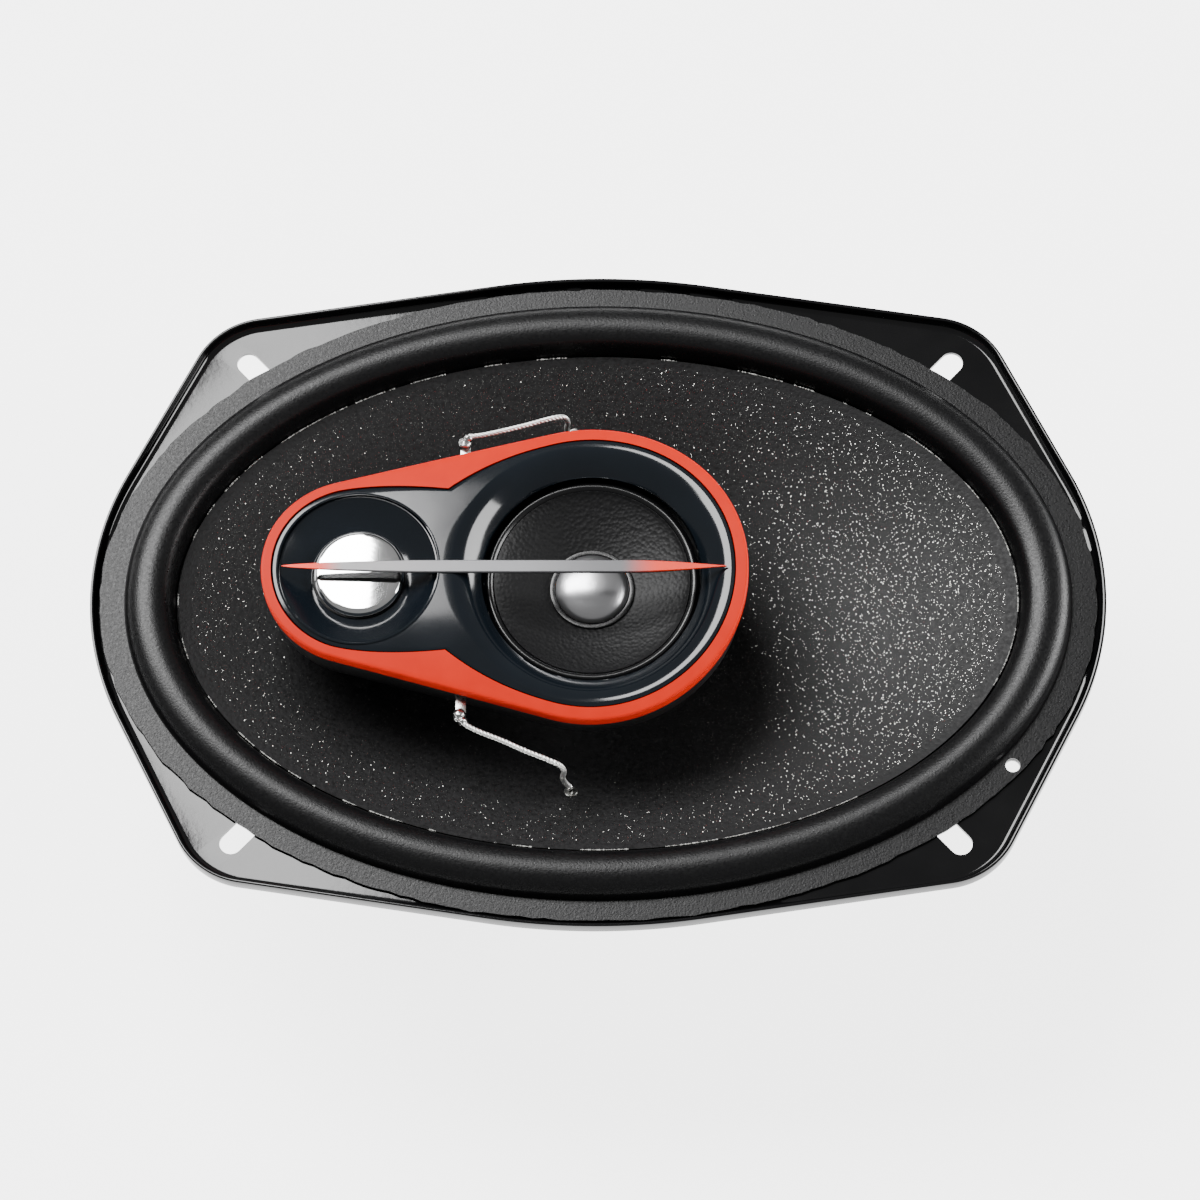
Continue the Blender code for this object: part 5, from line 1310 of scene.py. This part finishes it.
def build_bar():
    """A slim bar over both bowls, drawn to a point at each end, its underside keeled."""
    low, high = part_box("bridge_bar")
    top = high.z
    rings = []
    count = 48
    widens_to, narrows_from, tip = 0.30, 0.78, 0.06
    for i in range(count + 1):
        share = i / count
        width = min(1.0, share / widens_to) ** 0.5
        if share > narrows_from:
            width = 1 - ((share - narrows_from) / (1 - narrows_from)) ** 1.7
        width = max(width, tip)
        half = BAR_WIDTH / 2 * width
        deep = BAR_T * max(width, 0.35)
        x = low.x + (high.x - low.x) * share
        edge = 0.2 * MM * width
        rings.append(
            [
                (x, -half, top - edge),
                (x, -half + edge, top),
                (x, half - edge, top),
                (x, half, top - edge),
                (x, half, top - deep * 0.45),
                (x, half * 0.55, top - deep),
                (x, -half * 0.55, top - deep),
                (x, -half, top - deep * 0.45),
            ]
        )
    piece = loft("bridge_bar_strip", rings, BAR, capped=True, smooth_below=25)
    stand_in(piece, "basket", "satin_silver", "bridge_bar")


def dome_outline(radius, base, rise, wall):
    """A thin cap, open below, with a small flat rim."""
    turns = [math.radians(90 - 90 * i / 24) for i in range(25)]
    outer = [(radius * math.cos(a), base + rise * math.sin(a)) for a in turns]
    inner = [((radius - wall) * math.cos(a), base + (rise - wall) * math.sin(a)) for a in reversed(turns)]
    outer[0] = (0, base + rise)
    inner[-1] = (0, base + rise - wall)
    return outer + inner


def flat_dome_outline(radius, low, high):
    """A diaphragm that is all but flat, with a rounded shoulder down to its coil."""
    wall, shoulder, crown = 0.3 * MM, 1.4 * MM, 0.15 * MM
    flat = radius - shoulder
    face = [(flat * i / 8, high - crown * (i / 8) ** 2) for i in range(9)]
    turns = [math.radians(90 - 90 * i / 8) for i in range(1, 9)]
    edge = [(flat + shoulder * math.cos(a), high - crown - shoulder * (1 - math.sin(a))) for a in turns]
    outer = face + edge + [(radius, low)]
    return outer + [(max(r - wall, 0), z - wall if z > low else low) for r, z in reversed(outer)]


def build_midrange():
    """The midrange's dimpled cone, silver dome with its collar, and rubber roll."""
    centre = (MID_X, 0)
    outer, low, high = outline_of("midrange_cone", MID_X)
    inner, paper = 9.6 * MM, 0.4 * MM
    front = []
    for i in range(25):
        t = i / 24
        front.append((outer + (inner - outer) * t, high - (high - low - paper) * t**0.75))
    back = [(r, z - paper) for r, z in reversed(front)]
    cone = turned("midrange_cone_paper", front + back, PAPER, centre, 0.1 * MM)
    stand_in(cone, "midrange", "textured_paper", "midrange_cone")

    radius, low, high = outline_of("midrange_dome", MID_X)
    outline = dome_outline(radius, low, high - low, 0.3 * MM)
    cap = turned("midrange_dome_cap", outline, SPUN, centre, 0.02 * MM)
    stand_in(cap, "midrange", "polished_film", "midrange_dome")
    outline = ring_outline(9.9 * MM, 8.7 * MM, low - 0.5 * MM, low + 0.35 * MM)
    collar = turned("midrange_dome_collar", outline, GREY_RUBBER, centre)
    stand_in(collar, "midrange", "textured_paper")

    outer, low, high = outline_of("midrange_surround", MID_X)
    inn = 22.8 * MM
    top = []
    for i in range(17):
        t = i / 16
        top.append((outer + (inn - outer) * t, low + 0.35 * MM + 0.75 * MM * math.sin(math.pi * t)))
    under = [(r, z - 0.3 * MM) for r, z in reversed(top)]
    roll = turned("midrange_roll", top + under, GREY_RUBBER, centre, 0.05 * MM, steps=128)
    blend_round(roll)
    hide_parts("midrange_surround")


def build_tweeter():
    """The tweeter's flared bowl, mirror dome and mounting ring."""
    centre = (TWEETER_X, 0)
    _, low, high = outline_of("tweeter_bowl", TWEETER_X)
    outer, throat = TWEETER_BOWL_R, TWEETER_THROAT_R
    lip, floor = 0.6 * MM, 0.9 * MM
    flare = []
    for i in range(17):
        t = i / 16
        flare.append((throat + (outer - lip - throat) * t, low + floor + (high - low - floor) * t**1.25))
    outline = [(outer, high), (outer, low), (throat, low)] + flare
    bowl = turned("tweeter_bowl_flare", outline, PIANO, centre, 0.2 * MM, steps=128)
    stand_in(bowl, "basket", "gloss_black_plastic", "tweeter_bowl")
    radius, low, high = outline_of("tweeter_dome", TWEETER_X)
    cap = turned("tweeter_dome_cap", flat_dome_outline(radius, low, high), MIRROR, centre, 0.02 * MM, 128)
    stand_in(cap, "tweeter", "polished_film", "tweeter_dome")
    ring = ("tweeter_ring", "tweeter_mounting_ring", "basket", "black_plastic")
    turned_ring(*ring, ABS, 10.1 * MM, axis_x=TWEETER_X)


# ---------------------------------------------------------------- wiring


def softened(name, material, slot, width):
    """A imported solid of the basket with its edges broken."""
    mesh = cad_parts[name].data.copy()
    bm = bmesh.new()
    bm.from_mesh(mesh)
    bmesh.ops.remove_doubles(bm, verts=bm.verts, dist=0.002 * MM)
    bmesh.ops.dissolve_limit(bm, angle_limit=math.radians(2), verts=bm.verts, edges=bm.edges)
    sharp = [e for e in bm.edges if len(e.link_faces) == 2 and e.calc_face_angle(0) > math.radians(30)]
    bmesh.ops.bevel(bm, geom=sharp, offset=width, segments=2, profile=0.5, affect="EDGES", clamp_overlap=True)
    bm.to_mesh(mesh)
    bm.free()
    stand_in(finished(name + "_soft", mesh, material), "basket", slot, name)


def smooth_route(knots, steps):
    """Points on a Catmull-Rom curve through the knots, with the given steps between two knots."""
    ends = [knots[0] * 2 - knots[1]] + knots + [knots[-1] * 2 - knots[-2]]
    points = []
    for a, b, c, d in zip(ends, ends[1:], ends[2:], ends[3:]):
        for i in range(steps):
            t = i / steps
            bend = (a * -1 + b * 3 - c * 3 + d) * t**3 + (a * 2 - b * 5 + c * 4 - d) * t**2
            points.append((bend + (c - a) * t + b * 2) / 2)
    return points + [knots[-1]]


def millimetres(*places):
    """Points given in millimetres."""
    return [Vector(place) * MM for place in places]


FRONT_LEAD = millimetres(
    (-30.2, 36.0, 91.9),
    (-26.6, 37.2, 92.3),
    (-21.6, 38.8, 92.6),
    (-16.2, 40.8, 92.2),
    (-11.2, 42.6, 91.9),
    (-8.2, 43.6, 90.6),
    (-7.2, 43.8, 86.8),
    (-7.6, 44.0, 82.0),
    (-7.2, 44.0, 77.0),
    (-6.3, 44.6, 73.2),
)
REAR_LEAD = millimetres(
    (-5.6, 46.4, 68.9),
    (-5.4, 48.4, 65.2),
    (-5.2, 52.6, 62.6),
    (-5.0, 58.0, 62.4),
    (-5.0, 63.0, 64.6),
    (-5.0, 67.4, 66.0),
    (-5.0, 70.2, 65.2),
    (-5.0, 69.6, 61.8),
    (-5.0, 66.8, 58.6),
    (-5.2, 64.2, 56.4),
)
LEAD_SAG = 2.2 * MM  # both front leads lean the same way
SIDES = (("upper", 1), ("lower", -1))


def tube_on(tree, curve, sides, radius):
    """A smooth capped tube round a curve."""
    section = node(tree, "GeometryNodeCurvePrimitiveCircle", {"Resolution": sides, "Radius": radius})
    swept = {"Curve": curve, "Profile Curve": section, "Fill Caps": True}
    tube = node(tree, "GeometryNodeCurveToMesh", swept)
    return node(tree, "GeometryNodeSetShadeSmooth", {"Geometry": tube})


def braid_tree():
    """Strands wound round a line, like the tinsel lead of a loudspeaker."""
    values = {"Reach": 1.0, "Strand": 1.0, "Lay": 1.0, "Strands": 3, "Material": BRAID}
    tree, given = new_tree("twisted_strands", values)
    line = node(tree, "GeometryNodeMeshToCurve", {"Mesh": given["Geometry"]})
    copies = {"Geometry": line, "Amount": given["Strands"]}
    strands = node(tree, "GeometryNodeDuplicateElements", copies, domain="SPLINE")
    share = maths(tree, "DIVIDE", strands.outputs["Duplicate Index"], given["Strands"])
    start = maths(tree, "MULTIPLY", share, math.tau)
    along = node(tree, "GeometryNodeSplineParameter")
    turns = maths(tree, "DIVIDE", along.outputs["Length"], given["Lay"])
    turn = maths(tree, "MULTIPLY_ADD", turns, math.tau, start)
    tangent = node(tree, "GeometryNodeInputTangent")
    side = node(tree, "ShaderNodeVectorMath", {0: tangent, 1: (0.31, 0.17, 0.93)}, operation="CROSS_PRODUCT")
    side = node(tree, "ShaderNodeVectorMath", {0: side}, operation="NORMALIZE")
    up = node(tree, "ShaderNodeVectorMath", {0: tangent, 1: side}, operation="CROSS_PRODUCT")
    cosine = maths(tree, "COSINE", turn)
    sine = maths(tree, "SINE", turn)
    one = node(tree, "ShaderNodeVectorMath", {0: side, "Scale": cosine}, operation="SCALE")
    two = node(tree, "ShaderNodeVectorMath", {0: up, "Scale": sine}, operation="SCALE")
    both = node(tree, "ShaderNodeVectorMath", {0: one, 1: two}, operation="ADD")
    shift = node(tree, "ShaderNodeVectorMath", {0: both, "Scale": given["Reach"]}, operation="SCALE")
    wound = node(tree, "GeometryNodeSetPosition", {"Geometry": strands.outputs["Geometry"], "Offset": shift})
    close_tree(tree, tube_on(tree, wound, 7, given["Strand"]), given["Material"])
    return tree


def line_object(name, points):
    """An object with one edge from each point to the next."""
    mesh = bpy.data.meshes.new(name)
    mesh.from_pydata([tuple(p) for p in points], [(i, i + 1) for i in range(len(points) - 1)], [])
    return placed(name, mesh)


def build_leads():
    """Braided leads, from the pod's tags to the cone and from the cone to the tags on the basket."""
    tree = braid_tree()
    values = {"Reach": 0.31 * MM, "Strand": 0.35 * MM, "Lay": 2.8 * MM, "Strands": 3, "Material": BRAID}
    for name, side in SIDES:
        for part, knots, fixed_end, moving_end in (
            ("front", FRONT_LEAD, 0, -1),
            ("rear", REAR_LEAD, -1, 0),
        ):
            points = [Vector((p.x, p.y * side, p.z)) for p in smooth_route(knots, 14)]
            if part == "front":
                for i, point in enumerate(points):
                    point.y -= LEAD_SAG * math.sin(math.pi * i / (len(points) - 1)) ** 0.7
            piece = grown(f"{part}_braid_{name}", tree, line_object("line", points), values)
            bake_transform(piece)
            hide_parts(f"{part}_lead_{name}")


def blob(name, places, material):
    """Solder: lumpy beads melted into one another."""
    bm = bmesh.new()
    for place, radius in places:
        ball = bmesh.ops.create_icosphere(bm, subdivisions=3, radius=radius, matrix=Matrix.Translation(place))
        for vert in ball["verts"]:
            away = (vert.co - Vector(place)).normalized()
            vert.co += away * radius * 0.22 * noise.noise(vert.co / (0.7 * MM))
    return finished(name, mesh_from(bm, name), material, 60)


def build_terminations():
    """Solder tags on the pod, eyelets on the cone, and the solder on both."""
    for name, side in SIDES:
        low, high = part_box(f"lead_tag_{name}")
        softened(f"lead_tag_{name}", TIN, "tinned_brass", 0.08 * MM)
        tip = max(abs(low.y), abs(high.y))
        middle = (low.x + high.x) / 2
        spots = [
            ((middle - 0.2 * MM, side * (tip - 0.2 * MM), high.z + 0.2 * MM), 1.5 * MM),
            ((middle + 0.5 * MM, side * (tip + 1.3 * MM), high.z + 0.35 * MM), 1.15 * MM),
            ((middle - 0.9 * MM, side * (tip + 0.8 * MM), high.z + 0.1 * MM), 0.7 * MM),
        ]
        piece = blob(f"tag_solder_{name}", spots, SOLDER)
        stand_in(piece, "basket", "tinned_brass")
        low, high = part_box(f"eyelet_{name}")
        middle = (low + high) / 2
        tilt = Vector((0, -side * 0.42, 1)).to_track_quat("Z", "Y").to_matrix().to_4x4()
        place = Matrix.Translation(middle) @ tilt
        outline = [(0.75 * MM, 1.1 * MM), (1.6 * MM, 1.0 * MM), (1.6 * MM, 0.65 * MM), (0.75 * MM, 0.6 * MM)]
        outline += [(0.75 * MM, -1.2 * MM), (0.4 * MM, -1.2 * MM), (0.4 * MM, 1.1 * MM)]
        eyelet = turned(f"eyelet_ring_{name}", outline, TIN, steps=40, radius=0.12 * MM, place=place)
        stand_in(eyelet, "woofer", "tinned_brass", f"eyelet_{name}")
        spot = Vector(FRONT_LEAD[-1])
        spot.y *= side
        bead = blob(f"eyelet_solder_{name}", [(tuple(spot - Vector((0, 0, 0.7 * MM))), 0.75 * MM)], SOLDER)
        stand_in(bead, "woofer", "tinned_brass")


def build_terminals():
    """The terminal board with its tabs and rivet, and the anchor tag with its own."""
    softened("terminal_board", BOARD, "phenolic_board", 0.15 * MM)
    for name in ("terminal_tab_wide", "terminal_tab_narrow", "anchor_tag", "terminal_rivet", "anchor_rivet"):
        softened(name, BRASS, "brass_strip", 0.1 * MM)


def build_jumper():
    """The insulated wire that joins the anchor tag to the board, round the basket's neck."""
    start = millimetres((4.4, -60.0, 51.7), (8.8, -60.8, 51.0), (12.8, -60.6, 48.4), (14.4, -56.2, 42.2))
    finish = millimetres((14.4, 56.2, 42.2), (14.4, 60.6, 46.6), (12.4, 61.8, 49.4), (8.4, 61.6, 50.4))
    neck_r, neck_z = FLOOR_R + 8 * MM, FLOOR_TOP + 5.7 * MM
    turns = [math.radians(a) for a in range(-72, 73, 18)]
    ring = [Vector((neck_r * math.cos(t), neck_r * math.sin(t), neck_z)) for t in turns]
    tree, given = new_tree("insulated_wire", {"Wire": 1.0, "Material": PVC})
    line = node(tree, "GeometryNodeMeshToCurve", {"Mesh": given["Geometry"]})
    close_tree(tree, tube_on(tree, line, 20, given["Wire"]), given["Material"])
    points = smooth_route(start + ring + finish, 10)
    piece = grown("jumper_insulation", tree, line_object("line", points), {"Wire": 0.9 * MM, "Material": PVC})
    stand_in(piece, "basket", "black_pvc", "jumper_wire")


def dress_hidden_pieces():
    """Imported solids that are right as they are, deep inside the pod."""
    finishes = {
        "midrange_frame": ENAMEL,
        "midrange_yoke": ZINC,
        "midrange_magnet": NICKEL,
        "midrange_pole_plate": ZINC,
        "midrange_voice_coil": COPPER,
        "tweeter_yoke": ZINC,
        "tweeter_magnet": NICKEL,
        "tweeter_pole_plate": ZINC,
        "tweeter_voice_coil": COPPER,
        "midrange_capacitor": SLEEVE,
        "tweeter_capacitor": SLEEVE,
    }
    for name, material in finishes.items():
        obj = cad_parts[name]
        obj.data.materials.clear()
        obj.data.materials.append(material)


# ---------------------------------------------------------------- studio


WORLD = 0.25
FLOOR_HALF = 4.0
SWEEP_GLOW = 3.5
# Name, place, width, height and radiance of each softbox
SOFTBOXES = (
    ("overhead_left", (-0.785, 0.76, 1.66), 1.4, 0.9, 17.0),
    ("side_right", (1.5, 0.28, 0.55), 0.6, 1.3, 14.0),
)

CAMERA_TURN = math.radians(1.2)
CAMERA_RISE = math.radians(68)
CAMERA_DISTANCE = 1.2
CAMERA_LENS = 153.5


def level_turn(back):
    """The turn of a lamp or camera that looks along -back, with its X axis level with the speaker's."""
    right = (Vector((1, 0, 0)) - back * back.x).normalized()
    return Matrix((right, back.cross(right), back)).transposed().to_quaternion()


def build_studio():
    """A lit floor, an even grey world and two softboxes."""
    bm = bmesh.new()
    bmesh.ops.create_grid(bm, x_segments=1, y_segments=1, size=FLOOR_HALF)
    floor = placed("floor", mesh_of(bm, "floor"))
    floor.location.z = -0.2 * MM
    paint, _, shader, _ = surface("lit_white_sweep", "#F4F4F4", 0.9)
    shader.inputs["Emission Color"].default_value = (1, 1, 1, 1)
    shader.inputs["Emission Strength"].default_value = SWEEP_GLOW
    floor.data.materials.append(paint)

    world = bpy.data.worlds.new("studio_air")
    bpy.context.scene.world = world
    world.use_nodes = True
    background = world.node_tree.nodes["Background"]
    background.inputs["Color"].default_value = (1, 1, 1, 1)
    background.inputs["Strength"].default_value = WORLD

    aim = Vector((0, 0, FLANGE_FRONT))
    for name, place, width, height, radiance in SOFTBOXES:
        data = bpy.data.lights.new(name, "AREA")
        data.shape = "RECTANGLE"
        data.size, data.size_y = width, height
        data.energy = radiance * math.pi * width * height
        lamp = placed(name, data)
        lamp.location = Vector(place)
        lamp.rotation_mode = "QUATERNION"
        lamp.rotation_quaternion = level_turn((Vector(place) - aim).normalized())


def build_camera():
    """A long lens, almost square to the long side and well above it."""
    data = bpy.data.cameras.new("camera")
    data.sensor_width = 36
    data.lens = CAMERA_LENS
    camera = placed("camera", data)
    ahead = math.cos(CAMERA_TURN)
    back = Vector((math.sin(CAMERA_TURN), -ahead * math.cos(CAMERA_RISE), ahead * math.sin(CAMERA_RISE)))
    back.normalize()
    aim = Vector((0.6 * MM, -0.3 * MM, FLANGE_FRONT))
    camera.location = aim + back * CAMERA_DISTANCE
    camera.rotation_mode = "QUATERNION"
    camera.rotation_quaternion = level_turn(back)
    bpy.context.scene.camera = camera


build_camera()
build_studio()
build_frame()
build_cone()
build_flakes()
build_surround()
build_glue_line()
build_coil()
build_spider()
build_motor()
build_fasteners()
build_post()
build_trim()
build_bezel()
build_bowl_lip()
build_shell()
build_bar()
build_midrange()
build_tweeter()
build_leads()
build_terminations()
build_terminals()
build_jumper()
dress_hidden_pieces()
